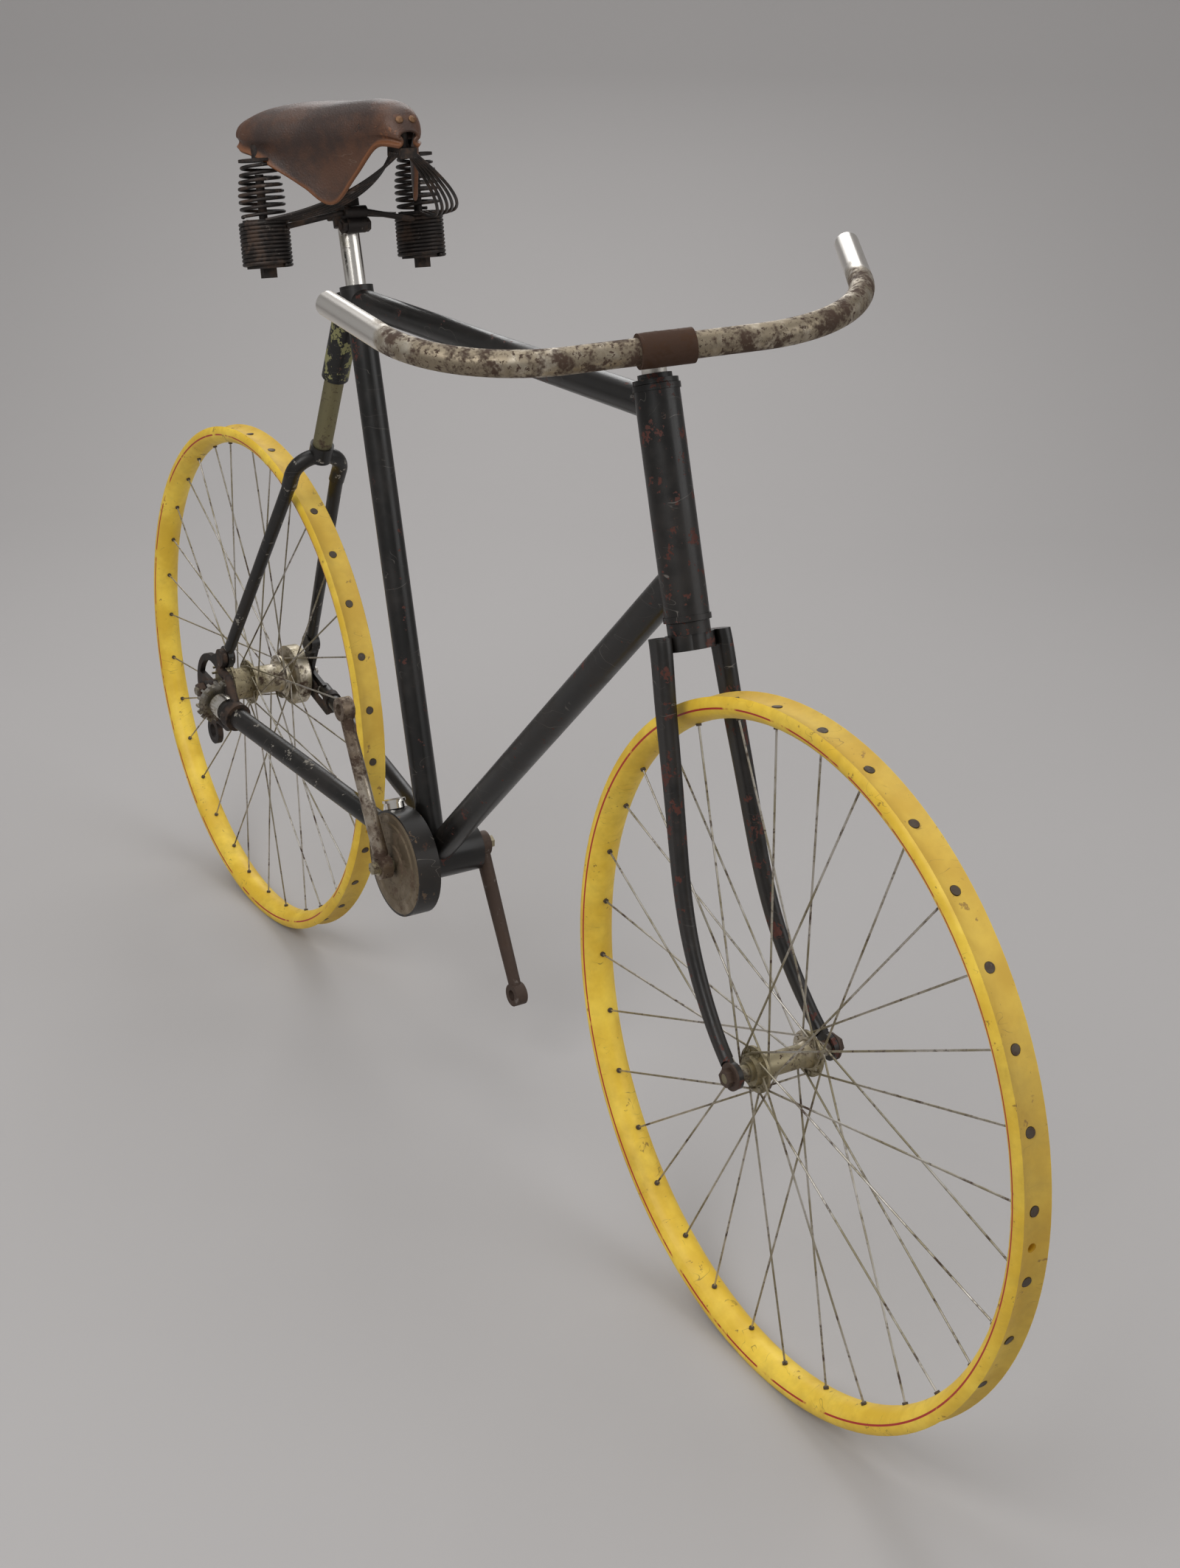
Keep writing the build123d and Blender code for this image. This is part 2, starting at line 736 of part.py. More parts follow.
# ---- drive gears --------------------------------------------------------------------------------
full_turn = radians(360)
crank_gear_radius = crank_pins * tooth_pitch / full_turn
hub_gear_radius = hub_pins * tooth_pitch / full_turn
front_pinion_radius = front_teeth * tooth_pitch / full_turn
rear_pinion_radius = rear_teeth * tooth_pitch / full_turn
pin_radius = gear_pin_diameter / 2
mesh_front = crank_gear_radius
mesh_rear = chain_stay_length - hub_gear_radius
shaft_slope = (shaft_rear_offset - shaft_front_offset) / (mesh_rear - mesh_front)
shaft_angle = degrees(atan2(shaft_slope, 1))


def shaft_point(rearward):
    """The point of the drive shaft's axis this far behind the bottom bracket."""
    return gear_point(rearward, 0, -shaft_front_offset - (rearward - mesh_front) * shaft_slope)


shaft_run = (shaft_point(mesh_rear) - shaft_point(mesh_front)).normalized()
mesh_side = (LEFT - shaft_run * LEFT.dot(shaft_run)).normalized()
front_pinion_place = mesh_front + front_pinion_radius * sin(radians(shaft_angle))
rear_pinion_place = mesh_rear - rear_pinion_radius * sin(radians(shaft_angle))


def pinion(place, teeth, pitch_radius, towards, width):
    """A pinion with straight-sided teeth, one of them pointing at the gear that it meets."""
    middle = Plane(origin=shaft_point(place), x_dir=towards, z_dir=shaft_run)
    with BuildPart(mode=Mode.PRIVATE) as gear:
        with BuildSketch(middle.offset(-width / 2)):
            Circle(pitch_radius - mesh_depth)
            with PolarLocations(pitch_radius - 1.5, teeth):
                Rectangle(2 * mesh_depth + 1.0, tooth_thickness)
            Circle(shaft_diameter / 2, mode=Mode.SUBTRACT)
        extrude(amount=width)
    return gear.part


pinion_width = 7.0
with BuildPart() as front_pinion:
    add(pinion(front_pinion_place, front_teeth, front_pinion_radius, mesh_side * -1, pinion_width))
finish(front_pinion, "front_pinion")
with BuildPart() as rear_pinion:
    add(pinion(rear_pinion_place, rear_teeth, rear_pinion_radius, mesh_side, pinion_width))
finish(rear_pinion, "rear_pinion")

with BuildPart() as drive_shaft:
    shaft_start = shaft_point(front_pinion_place - pinion_width / 2 - 3)
    shaft_stop = shaft_point(rear_pinion_place + pinion_width / 2 + 3)
    add(round_bar(shaft_start, shaft_stop, shaft_diameter / 2))
finish(drive_shaft, "drive_shaft")

tip_extra = mesh_depth - 1.0
front_tip = shaft_front_offset + front_pinion_radius + tip_extra
crank_disc_left = -(front_tip + 2.5)
crank_disc_thickness = 3.5
pin_reach = 5.5
with BuildPart() as crank_gear:
    with BuildSketch(gear_plane.offset(crank_disc_left)):
        Circle(crank_gear_radius + 3.0)
        Circle(spindle_radius, mode=Mode.SUBTRACT)
        with PolarLocations(30.0, 5):
            Circle(8.0, mode=Mode.SUBTRACT)
    extrude(amount=-crank_disc_thickness)
    with BuildSketch(gear_plane.offset(crank_disc_left)):
        with PolarLocations(crank_gear_radius, crank_pins, start_angle=180 / crank_pins):
            Circle(pin_radius)
    extrude(amount=pin_reach)
finish(crank_gear, "crank_gear")

rear_tip = shaft_rear_offset - rear_pinion_radius - tip_extra
hub_disc_left = -(rear_tip - 2.5)
hub_disc_thickness = 4.0
with BuildPart() as hub_gear:
    hub_centre = gear_plane.offset(hub_disc_left)
    with BuildSketch(hub_centre):
        with Locations((chain_stay_length, 0)):
            Circle(hub_gear_radius + 2.8)
            Circle(15.0, mode=Mode.SUBTRACT)
    extrude(amount=hub_disc_thickness)
    with BuildSketch(hub_centre):
        with Locations((chain_stay_length, 0)):
            with PolarLocations(hub_gear_radius, hub_pins, start_angle=180 + 180 / hub_pins):
                Circle(pin_radius)
    extrude(amount=-pin_reach)
finish(hub_gear, "hub_gear")

# ---- rear hub -----------------------------------------------------------------------------------
rear_axle_radius = rear_axle_diameter / 2
drum_radius = drum_diameter / 2
rear_flange_radius = rear_flange_diameter / 2
hub_bore = 11.0
rear_profile = [
    (hub_bore, drum_face),
    (drum_radius - 2.0, drum_face),
    (drum_radius, drum_face - 2.0),
    (drum_radius, rear_left_flange + 12.0),
    (drum_radius - 5.0, rear_left_flange + 9.0),
    (rear_circle - 4.0, rear_left_flange + 8.0),
    (rear_circle - 4.0, rear_left_flange + half_flange),
    (rear_flange_radius, rear_left_flange + half_flange),
    (rear_flange_radius, rear_left_flange - half_flange),
    (20.0, rear_left_flange - half_flange),
    (18.0, rear_left_flange - 7.0),
    (18.0, -rear_right_flange + 6.0),
    (20.0, -rear_right_flange + half_flange),
    (rear_flange_radius, -rear_right_flange + half_flange),
    (rear_flange_radius, -rear_right_flange - half_flange),
    (rear_circle - 4.0, -rear_right_flange - half_flange),
    (rear_circle - 4.0, -rear_right_flange - 6.0),
    (rear_circle - 4.0, hub_disc_left + hub_disc_thickness),
    (15.0, hub_disc_left + hub_disc_thickness),
    (15.0, hub_disc_left - 1.0),
    (hub_bore, hub_disc_left - 1.0),
]
rear_hub = revolved_hub(rear_wheel_plane, rear_profile, rear_kinds)
rear_hub.label = "rear_hub"
export_step(rear_hub, "parts/rear_hub.step")


def along_rear(distance):
    """A point on the rear axle's line, this far to the left of the middle."""
    return rear_axle + LEFT * distance


bracket_outer = bracket_face + bracket_thickness
boss_outer = bracket_outer + 10.0
left_outer = left_stay_face + left_stay_thickness
with BuildPart() as rear_axle_rod:
    add(round_bar(along_rear(-boss_outer - 11), along_rear(left_outer + 13), rear_axle_radius))
finish(rear_axle_rod, "rear_axle")

with BuildPart() as rear_cones:
    for inner, outer, stop in (
        (drum_face - 9, drum_face + 0.6, left_stay_face),
        (hub_disc_left + 8, hub_disc_left - 1.6, -bracket_face),
    ):
        add(round_bar(along_rear(inner), along_rear(outer), hub_bore - running_clearance, rear_axle_radius))
        add(round_bar(along_rear(outer), along_rear(stop), 8.0, rear_axle_radius))
finish(rear_cones, "rear_cones")

with BuildPart() as rear_axle_nuts:
    for start, side in ((left_outer, 1), (boss_outer, -1)):
        face = Plane(origin=along_rear(side * start), z_dir=LEFT * side)
        add(hexagon_nut(face, 17.0, 8.0, rear_axle_radius))
finish(rear_axle_nuts, "rear_axle_nuts")

# ---- rear fork ----------------------------------------------------------------------------------
shell_radius = shell_diameter / 2
wall = 3.0
neck_radius = front_pinion_radius + mesh_depth + 3.5
neck_end = 68.0
drive_tube_radius = drive_tube_diameter / 2
drive_tube_end = shaft_point(rear_pinion_place - pinion_width / 2 - 8)
tube_start = shaft_point(neck_end)
with BuildPart() as gear_housing:
    with BuildSketch(gear_plane.offset(-housing_face)):
        Circle(housing_radius)
    extrude(amount=housing_face - housing_back)
    add(round_bar(shaft_point(32), tube_start, neck_radius + 2.5))
    with BuildSketch(gear_plane.offset(-housing_face - 1)):
        Circle(housing_radius - wall)
    extrude(amount=housing_face - housing_back - wall + 1, mode=Mode.SUBTRACT)
    add(round_bar(shaft_point(34.5), shaft_point(neck_end - 3), neck_radius), mode=Mode.SUBTRACT)
    add(
        round_bar(shaft_point(neck_end - 5), shaft_point(neck_end + 5), shaft_diameter / 2 + running_clearance),
        mode=Mode.SUBTRACT,
    )
    add(round_bar((0, -housing_face, 0), (0, 10, 0), shell_radius + side_clearance), mode=Mode.SUBTRACT)
finish(gear_housing, "gear_housing")

cover_radius = 55.0
with BuildPart() as cover_disc:
    with BuildSketch(Plane.XY):
        with BuildLine():
            Polyline(
                (spindle_radius + 1.0, -housing_face - 3.0),
                (22.0, -housing_face - 3.0),
                (24.0, -housing_face - 1.8),
                (40.0, -housing_face - 1.8),
                (42.0, -housing_face - 2.8),
                (46.0, -housing_face - 2.8),
                (48.0, -housing_face - 1.5),
                (cover_radius, -housing_face - 1.5),
                (cover_radius + 2.5, -housing_face),
                (spindle_radius + 1.0, -housing_face),
                close=True,
            )
        make_face()
    revolve(axis=Axis.Y)
finish(cover_disc, "cover_disc")

plug_angle = 62.0
with BuildPart() as oil_plug:
    plug_out = gear_plane.from_local_coords(
        Vector(cos(radians(plug_angle)), sin(radians(plug_angle)), 0)
    ).normalized()
    plug_foot = plug_out * housing_radius - LEFT * 37
    add(round_bar(plug_foot + plug_out * 0.2, plug_foot + plug_out * 7, 11.0))
    add(round_bar(plug_foot + plug_out * 7, plug_foot + plug_out * 10, 13.0))
    slot = Plane(origin=plug_foot + plug_out * 11, z_dir=-plug_out)
    with BuildSketch(slot):
        Rectangle(30, 2.4)
    extrude(amount=2.4, mode=Mode.SUBTRACT)
    add(gear_housing.part, mode=Mode.SUBTRACT)
finish(oil_plug, "oil_plug")

with BuildPart() as drive_tube:
    add(round_bar(tube_start, drive_tube_end, drive_tube_radius, drive_tube_radius - 2.0))
    bearing_start = drive_tube_end - shaft_run * 12
    add(round_bar(bearing_start, drive_tube_end, drive_tube_radius, shaft_diameter / 2 + running_clearance))
finish(drive_tube, "drive_tube")

with BuildPart() as drive_tube_collar:
    collar_start = drive_tube_end - shaft_run * 16
    add(round_bar(collar_start, drive_tube_end + shaft_run * 2, drive_tube_radius + 2.5, drive_tube_radius))
finish(drive_tube_collar, "drive_tube_collar")

tube_core = round_bar(shaft_point(40), drive_tube_end, drive_tube_radius)
housing_core = round_bar((0, -housing_face, 0), (0, -housing_back, 0), housing_radius)
left_stay_radius = 8.5
bridge_place = 84.0
left_front = gear_point(bridge_place, 0, 31)
left_rear = gear_point(424, -3, 68)
with BuildPart() as left_chain_stay:
    add(round_bar(shaft_point(bridge_place), left_front, left_stay_radius))
    add(Solid.make_sphere(left_stay_radius, Plane(origin=left_front)))
    add(round_bar(left_front, left_rear, left_stay_radius))
    with BuildSketch(gear_plane.offset(left_stay_face)):
        with Locations((chain_stay_length, 0)):
            Circle(15.0)
        Polygon(
            (414, -9),
            (chain_stay_length, -15),
            (chain_stay_length, 15),
            (414, 7),
            align=None,
        )
        pin_place = gear_plane.to_local_coords(rear_axle + Vector(stay_pin_forward, 0, stay_pin_rise))
        with Locations((pin_place.X, pin_place.Y)):
            Circle(11.0)
        Polygon(
            (chain_stay_length - 14, -6),
            (chain_stay_length + 10, 10),
            (pin_place.X + 7, pin_place.Y + 6),
            (pin_place.X - 8, pin_place.Y - 6),
            align=None,
        )
    extrude(amount=left_stay_thickness)
    add(
        round_bar(along_rear(left_stay_face - 3), along_rear(left_outer + 3), rear_axle_radius),
        mode=Mode.SUBTRACT,
    )
    add(round_bar(along_rear(40), along_rear(left_stay_face), 24.0), mode=Mode.SUBTRACT)
    add(tube_core, mode=Mode.SUBTRACT)
    stay_pin = rear_axle + Vector(stay_pin_forward, 0, stay_pin_rise)
    eye_thickness = 7.0
    pin_radius_stay = stay_pin_diameter / 2
    eye_left = left_stay_face - side_clearance
    add(
        round_bar(
            stay_pin + LEFT * left_stay_face,
            stay_pin + LEFT * (eye_left - eye_thickness - side_clearance),
            pin_radius_stay,
        )
    )
    cap_start = eye_left - eye_thickness - side_clearance
    add(round_bar(stay_pin + LEFT * cap_start, stay_pin + LEFT * (cap_start - 2.5), 10.5))
finish(left_chain_stay, "left_chain_stay")

ring_outer = 45.0
ring_inner = 37.0
pinion_core = round_bar(
    shaft_point(rear_pinion_place - pinion_width / 2 - 3),
    shaft_point(rear_pinion_place + pinion_width / 2 + 6),
    rear_pinion_radius + mesh_depth + 3,
)
with BuildPart() as loop_bracket:
    with BuildSketch(gear_plane.offset(-bracket_face)):
        with Locations((chain_stay_length, 0)):
            Circle(ring_outer)
            Circle(ring_inner, mode=Mode.SUBTRACT)
        with Locations((chain_stay_length + ring_outer / 2, 0)):
            Rectangle(ring_outer - 4, 15)
        with Locations((pin_place.X, pin_place.Y)):
            Circle(11.0)
        with Locations((chain_stay_length - 6, -ring_outer - 12)):
            Circle(17.0)
            Circle(9.0, mode=Mode.SUBTRACT)
        Polygon(
            (pin_place.X - 9, pin_place.Y - 4),
            (pin_place.X + 8, pin_place.Y + 4),
            (chain_stay_length + 8, ring_inner + 3),
            (chain_stay_length - 22, ring_inner - 4),
            align=None,
        )
    extrude(amount=-bracket_thickness)
    add(round_bar(along_rear(-bracket_face), along_rear(-boss_outer), 11.0))
    add(pinion_core, mode=Mode.SUBTRACT)
    for up in (1, -1):
        elbow = gear_point(mesh_rear - 14, up * 34, -bracket_face - 3.5)
        add(round_bar(gear_point(mesh_rear - 46, up * 12, -bracket_face - 7), elbow, 5.0))
        add(round_bar(elbow, gear_point(chain_stay_length - 22, up * 36, -bracket_face - 3.5), 5.0))
    add(Solid.make_sphere(5.0, Plane(origin=gear_point(mesh_rear - 14, 34, -bracket_face - 3.5))))
    add(Solid.make_sphere(5.0, Plane(origin=gear_point(mesh_rear - 14, -34, -bracket_face - 3.5))))
    add(
        round_bar(
            shaft_point(mesh_rear - 56), shaft_point(mesh_rear - 42), drive_tube_radius + 5.0
        )
    )
    add(pinion_core, mode=Mode.SUBTRACT)
    add(round_bar(shaft_point(mesh_rear - 80), drive_tube_end, drive_tube_radius), mode=Mode.SUBTRACT)
    add(
        round_bar(
            drive_tube_end - shaft_run * 16, drive_tube_end + shaft_run * 30, drive_tube_radius + 2.5
        ),
        mode=Mode.SUBTRACT,
    )
    add(round_bar(along_rear(-40), along_rear(-boss_outer - 5), rear_axle_radius), mode=Mode.SUBTRACT)
    eye_right = bracket_face - side_clearance
    add(
        round_bar(
            stay_pin - LEFT * bracket_face,
            stay_pin - LEFT * (eye_right - eye_thickness - side_clearance),
            pin_radius_stay,
        )
    )
    cap_start = eye_right - eye_thickness - side_clearance
    add(round_bar(stay_pin - LEFT * cap_start, stay_pin - LEFT * (cap_start - 2.5), 10.5))
finish(loop_bracket, "loop_bracket")

arm_place = 396.0
arm_drop = -18.0
arm_face = 58.2
with BuildPart() as brake_arm:
    with BuildSketch(gear_plane.offset(arm_face)):
        with Locations((chain_stay_length, 0)):
            Circle(17.0)
        with Locations((arm_place, arm_drop)):
            Circle(7.0)
        Polygon(
            (chain_stay_length - 4, -15),
            (arm_place, arm_drop - 7),
            (arm_place, arm_drop + 7),
            (chain_stay_length - 8, 14),
            align=None,
        )
    extrude(amount=3.0)
    add(round_bar(along_rear(50), along_rear(70), 8.0), mode=Mode.SUBTRACT)
    add(round_bar(left_front, left_rear, left_stay_radius + 2.2), mode=Mode.SUBTRACT)
finish(brake_arm, "brake_arm")

stay_line = (left_rear - left_front).normalized()
clip_centre = left_front + stay_line * ((arm_place - bridge_place) / 1.005)
clip_plane = Plane(origin=clip_centre - stay_line * 6, z_dir=stay_line)
with BuildPart() as brake_clip:
    add(round_bar(clip_centre - stay_line * 6, clip_centre + stay_line * 6, left_stay_radius + 2.0))
    ear = gear_point(arm_place, arm_drop, arm_face + 3.0)
    add(round_bar(ear, ear + LEFT * 8, 6.0))
    add(round_bar(ear + LEFT * 4, clip_centre, 4.0))
    add(hexagon_nut(Plane(origin=ear + LEFT * 8, z_dir=LEFT), 9.0, 4.0, 0))
    add(
        round_bar(left_front, left_rear, left_stay_radius + 0.02),
        mode=Mode.SUBTRACT,
    )
    add(brake_arm.part, mode=Mode.SUBTRACT)
finish(brake_clip, "brake_clip")

# ---- seat stays and plunger ---------------------------------------------------------------------
crown_point = mouth - cushion_up * plunger_exposed
stay_radius = stay_diameter / 2
arch_radius = stay_radius + 1.0
stay_foot = Vector(stay_pin.X, 0, stay_pin.Z)
stay_down = (stay_foot - crown_point).normalized()
arch_plane = Plane(origin=crown_point, x_dir=LEFT, z_dir=LEFT.cross(stay_down * -1))
arch_drop = 42.0
with BuildPart() as plunger:
    top_end = mouth + cushion_up * plunger_insert
    add(round_bar(crown_point + cushion_up * (arch_radius - 1), top_end, plunger_radius, plunger_radius - 2.5))
finish(plunger, "plunger")

plunger_core = round_bar(crown_point + cushion_up * (arch_radius - 1), top_end, plunger_radius)
arch = [
    (-stay_spread, -arch_drop),
    (-stay_spread, 0),
    (stay_spread, 0),
    (stay_spread, -arch_drop),
]
with BuildPart() as seat_stays:
    add(bent_bar(arch_plane, arch, stay_spread - 4.0, arch_radius))
    add(round_bar(crown_point - cushion_up * 4, crown_point + cushion_up * 16, plunger_radius + 2.5))
    add(plunger_core, mode=Mode.SUBTRACT)
    for side, eye_face in ((1, eye_left), (-1, eye_right)):
        hip = crown_point + stay_down * arch_drop + LEFT * side * stay_spread
        eye_middle = eye_face - eye_thickness / 2
        ankle = stay_pin + LEFT * side * eye_middle - stay_down * 10
        add(tapered_bar(hip, ankle, stay_radius, eye_thickness))
        add(round_bar(stay_pin + LEFT * side * eye_face, stay_pin + LEFT * side * (eye_face - eye_thickness), 14.0))
        for outer, inner in ((eye_face, eye_face + 12), (eye_face - eye_thickness, eye_face - eye_thickness - 12)):
            add(
                round_bar(stay_pin + LEFT * side * outer, stay_pin + LEFT * side * inner, 17.0),
                mode=Mode.SUBTRACT,
            )
    eye_bore = pin_radius_stay + stay_eye_clearance
    add(round_bar(stay_pin - LEFT * 80, stay_pin + LEFT * 80, eye_bore), mode=Mode.SUBTRACT)
finish(seat_stays, "seat_stays")

# ---- cranks -------------------------------------------------------------------------------------
boss_width = 13.0
boss_radius = 14.0
eye_radius = 13.0
eye_width = 14.0
with BuildPart() as crank_spindle:
    right_end = -right_crank_offset - boss_width / 2
    left_end = left_crank_offset + boss_width / 2
    add(round_bar((0, right_end, 0), (0, left_end, 0), spindle_radius))
finish(crank_spindle, "crank_spindle")

crank_out = Vector(cos(radians(crank_angle)), 0, sin(radians(crank_angle)))
for name, reach, offset, side in (
    ("right_crank", crank_out, right_crank_offset, -1),
    ("left_crank", crank_out * -1, left_crank_offset, 1),
):
    hub = LEFT * side * offset
    eye = reach * crank_length + LEFT * side * (offset + crank_flare)
    half_boss = LEFT * (boss_width / 2)
    half_eye = LEFT * (eye_width / 2)
    with BuildPart() as crank:
        add(round_bar(hub - half_boss, hub + half_boss, boss_radius))
        add(tapered_bar(hub + reach * 10.5, eye - reach * 6, 8.5, 7.0))
        add(round_bar(eye - half_eye, eye + half_eye, eye_radius))
        add(round_bar(eye - half_eye * 3, eye + half_eye * 3, pedal_hole_diameter / 2), mode=Mode.SUBTRACT)
        bore_end = hub + LEFT * side * 20
        add(round_bar(hub - LEFT * side * 20, bore_end, spindle_radius), mode=Mode.SUBTRACT)
    finish(crank, name)

with BuildPart() as crank_bolts:
    for side, end in ((-1, right_end), (1, left_end)):
        face = Plane(origin=(0, end, 0), z_dir=LEFT * side)
        with BuildSketch(face):
            Circle(9.5)
        extrude(amount=1.5)
        add(hexagon_nut(face.offset(1.5), 13.0, 6.0, 0))
finish(crank_bolts, "crank_bolts")

# ---- seat post and saddle -----------------------------------------------------------------------
post_top = seat_top + seat_up * post_height
post_radius = post_diameter / 2
with BuildPart() as seat_post:
    add(round_bar(seat_top - seat_up * post_insert, post_top, post_radius, post_radius - 2.5))
finish(seat_post, "seat_post")

unit_up = Vector(-sin(radians(unit_lean)), 0, cos(radians(unit_lean)))
coil_foot = Vector(coil_x, 0, coil_bottom_z)
coil_radius = coil_diameter / 2
spring_radius = spring_diameter / 2
coil_turns = int(coil_height / coil_wire)


def unit_point(side, height):
    """A point on the axis of one of the two spring units, this far above its foot."""
    return coil_foot + LEFT * side * coil_offset + unit_up * height


with BuildPart() as saddle_coils:
    for side in (1, -1):
        foot = Plane(origin=unit_point(side, 0), x_dir=LEFT, z_dir=unit_up)
        with BuildSketch(Plane(origin=foot.origin, x_dir=foot.x_dir, z_dir=-foot.y_dir)):
            with Locations((coil_radius - coil_wire * 0.75, coil_turns * coil_wire / 2)):
                Rectangle(coil_wire * 0.7, coil_turns * coil_wire - coil_wire)
            for turn in range(coil_turns):
                with Locations((coil_radius - coil_wire / 2, coil_wire * (turn + 0.5))):
                    Circle(coil_wire * 0.51)
        revolve(axis=Axis(foot.origin, unit_up))
finish(saddle_coils, "saddle_coils")

coil_top = coil_turns * coil_wire
coil_inside = coil_radius - coil_wire * 1.1
spring_start = coil_top + spring_wire + seat_gap
spring_run = spring_height - 2 * spring_wire
rod_top = coil_top + spring_height - saddle_travel - 4.0
with BuildPart() as saddle_rods:
    for side in (1, -1):
        add(round_bar(unit_point(side, -4), unit_point(side, rod_top), rod_radius))
        add(round_bar(unit_point(side, 0), unit_point(side, 4.0), coil_inside))
        add(round_bar(unit_point(side, coil_top - 5), unit_point(side, coil_top - 1), coil_inside))
        add(hexagon_nut(Plane(origin=unit_point(side, -10), z_dir=unit_up), 15.0, 10.0, 0))
    add(saddle_coils.part, mode=Mode.SUBTRACT)
finish(saddle_rods, "saddle_rods")

with BuildPart() as saddle_springs:
    for side in (1, -1):
        with BuildLine() as coil_path:
            Helix(
                pitch=spring_run / spring_turns,
                height=spring_run,
                radius=spring_radius - spring_wire,
                center=unit_point(side, spring_start),
                direction=unit_up,
                cone_angle=-spring_taper,
            )
        with BuildSketch(Plane(origin=coil_path.line @ 0, z_dir=coil_path.line % 0)):
            Circle(spring_wire)
        sweep(path=coil_path.line, is_frenet=True)
finish(saddle_springs, "saddle_springs")

# leather: an arched shell, each section given as place, half width, crown, shoulder and hem
sections = (
    (-264.0, 62.0, 770.0, 752.0, 745.0),
    (-240.0, 102.0, 781.0, 746.0, 737.0),
    (-192.0, 90.0, 790.0, 748.0, 727.0),
    (-152.0, 66.0, 793.0, 752.0, 704.0),
    (-118.0, 49.0, 795.0, 755.0, 692.0),
    (-96.0, 37.0, 795.0, 757.0, 720.0),
    (-74.0, 27.0, 793.0, 762.0, 752.0),
    (-56.0, 20.0, 784.0, 762.0, 756.0),
    (-44.0, 13.0, 770.0, 761.0, 755.0),
)


def arch_loft(shrink, lower, stretch=0.0):
    """A loft through the arched sections, drawn in by shrink, lowered at the hem, longer by stretch."""
    with BuildPart(mode=Mode.PRIVATE) as body:
        for place, half, crown, shoulder, hem in sections:
            inner = half - shrink
            top = crown - shrink
            edge = shoulder - shrink / 2
            low = hem - lower
            station = place
            if place == sections[0][0]:
                station = place - stretch
            with BuildSketch(Plane(origin=(station, 0, 0), x_dir=(0, 1, 0), z_dir=(1, 0, 0))):
                with BuildLine():
                    Bezier((-inner, edge), (-inner, (edge + top) / 2), (-inner * 0.62, top), (0, top))
                    Bezier((0, top), (inner * 0.62, top), (inner, (edge + top) / 2), (inner, edge))
                    Line((inner, edge), (inner, low))
                    Line((inner, low), (-inner, low))
                    Line((-inner, low), (-inner, edge))
                make_face()
        loft(ruled=True)
    return body.part


outer_arch = arch_loft(0.0, 0.0)
inner_arch = arch_loft(leather_thickness, 30.0, 10.0)
with BuildPart() as nose_cut:
    with BuildSketch(Plane.YZ.offset(sections[-2][0] + 6.0)):
        with Locations((0, 760)):
            Rectangle(300, 300)
    extrude(amount=60)
with BuildPart() as saddle_leather:
    add(outer_arch)
    add(inner_arch - nose_cut.part, mode=Mode.SUBTRACT)
finish(saddle_leather, "saddle_leather")

cap_height = spring_start + spring_run + spring_wire + seat_gap
cap_top = cap_height + 3.0
plate_height = 6.0
nose_block_centre = Vector(nose_x, 0, nose_z)
plate_middle = (unit_point(1, cap_top + 11) + unit_point(-1, cap_top + 11)) * 0.5
# stalks stand on the frame and end under the hide
with BuildPart() as stalks:
    for side in (1, -1):
        mast = plate_middle + LEFT * side * 45
        add(round_bar(mast, mast + unit_up * 60, 5.0))
    add(round_bar(nose_block_centre, nose_block_centre + Vector(0, 0, 40), 6.0))
    add(inner_arch, mode=Mode.INTERSECT)
with BuildPart() as saddle_frame:
    for side in (1, -1):
        add(round_bar(unit_point(side, cap_height), unit_point(side, cap_top), cap_radius))
        add(round_bar(unit_point(side, cap_top - 1), unit_point(side, cap_top + 14), 6.0))
    with Locations(Location(plate_middle, (0, -unit_lean, 0))):
        Box(24.0, 2 * coil_offset - 6.0, 5.0)
    with Locations(Location(nose_block_centre)):
        Box(nose_block_length, nose_block_width, nose_block_height)
    add(saddle_leather.part, mode=Mode.SUBTRACT)
    add(stalks.part)
finish(saddle_frame, "saddle_frame")

# nose wires: strands side by side from the nose block to the front of each coil
def nose_bundle(side, belly):
    """The strands of one side, as separate bent wires."""
    strands = []
    for strand in range(strand_count):
        place = strand - (strand_count - 1) / 2
        shift = place * strand_spacing
        start = nose_block_centre + Vector(shift * 0.75, side * (nose_block_width / 2 - 1), 0)
        middle = Vector(belly[0] + shift * 0.5, side * (belly[1] + shift * 0.6), belly[2] + shift * 0.3)
        around = radians(13.0 * place)
        rim = Vector(cos(around), side * sin(around), 0) * (coil_radius - coil_wire / 2)
        stop = unit_point(side, coil_top + strand_radius * 0.8) + rim
        with BuildPart(mode=Mode.PRIVATE) as wire:
            with BuildLine() as strand_path:
                ThreePointArc(start, middle, stop)
            with BuildSketch(Plane(origin=strand_path.line @ 0, z_dir=strand_path.line % 0)):
                Circle(strand_radius)
            sweep(path=strand_path.line)
        strands.append(wire.part)
    return strands


with BuildPart() as nose_wires:
    add(nose_bundle(1, left_belly))
    add(nose_bundle(-1, right_belly))
    add(saddle_frame.part, mode=Mode.SUBTRACT)
    add(saddle_coils.part, mode=Mode.SUBTRACT)
    add(saddle_rods.part, mode=Mode.SUBTRACT)
    add(saddle_leather.part, mode=Mode.SUBTRACT)
finish(nose_wires, "nose_wires")

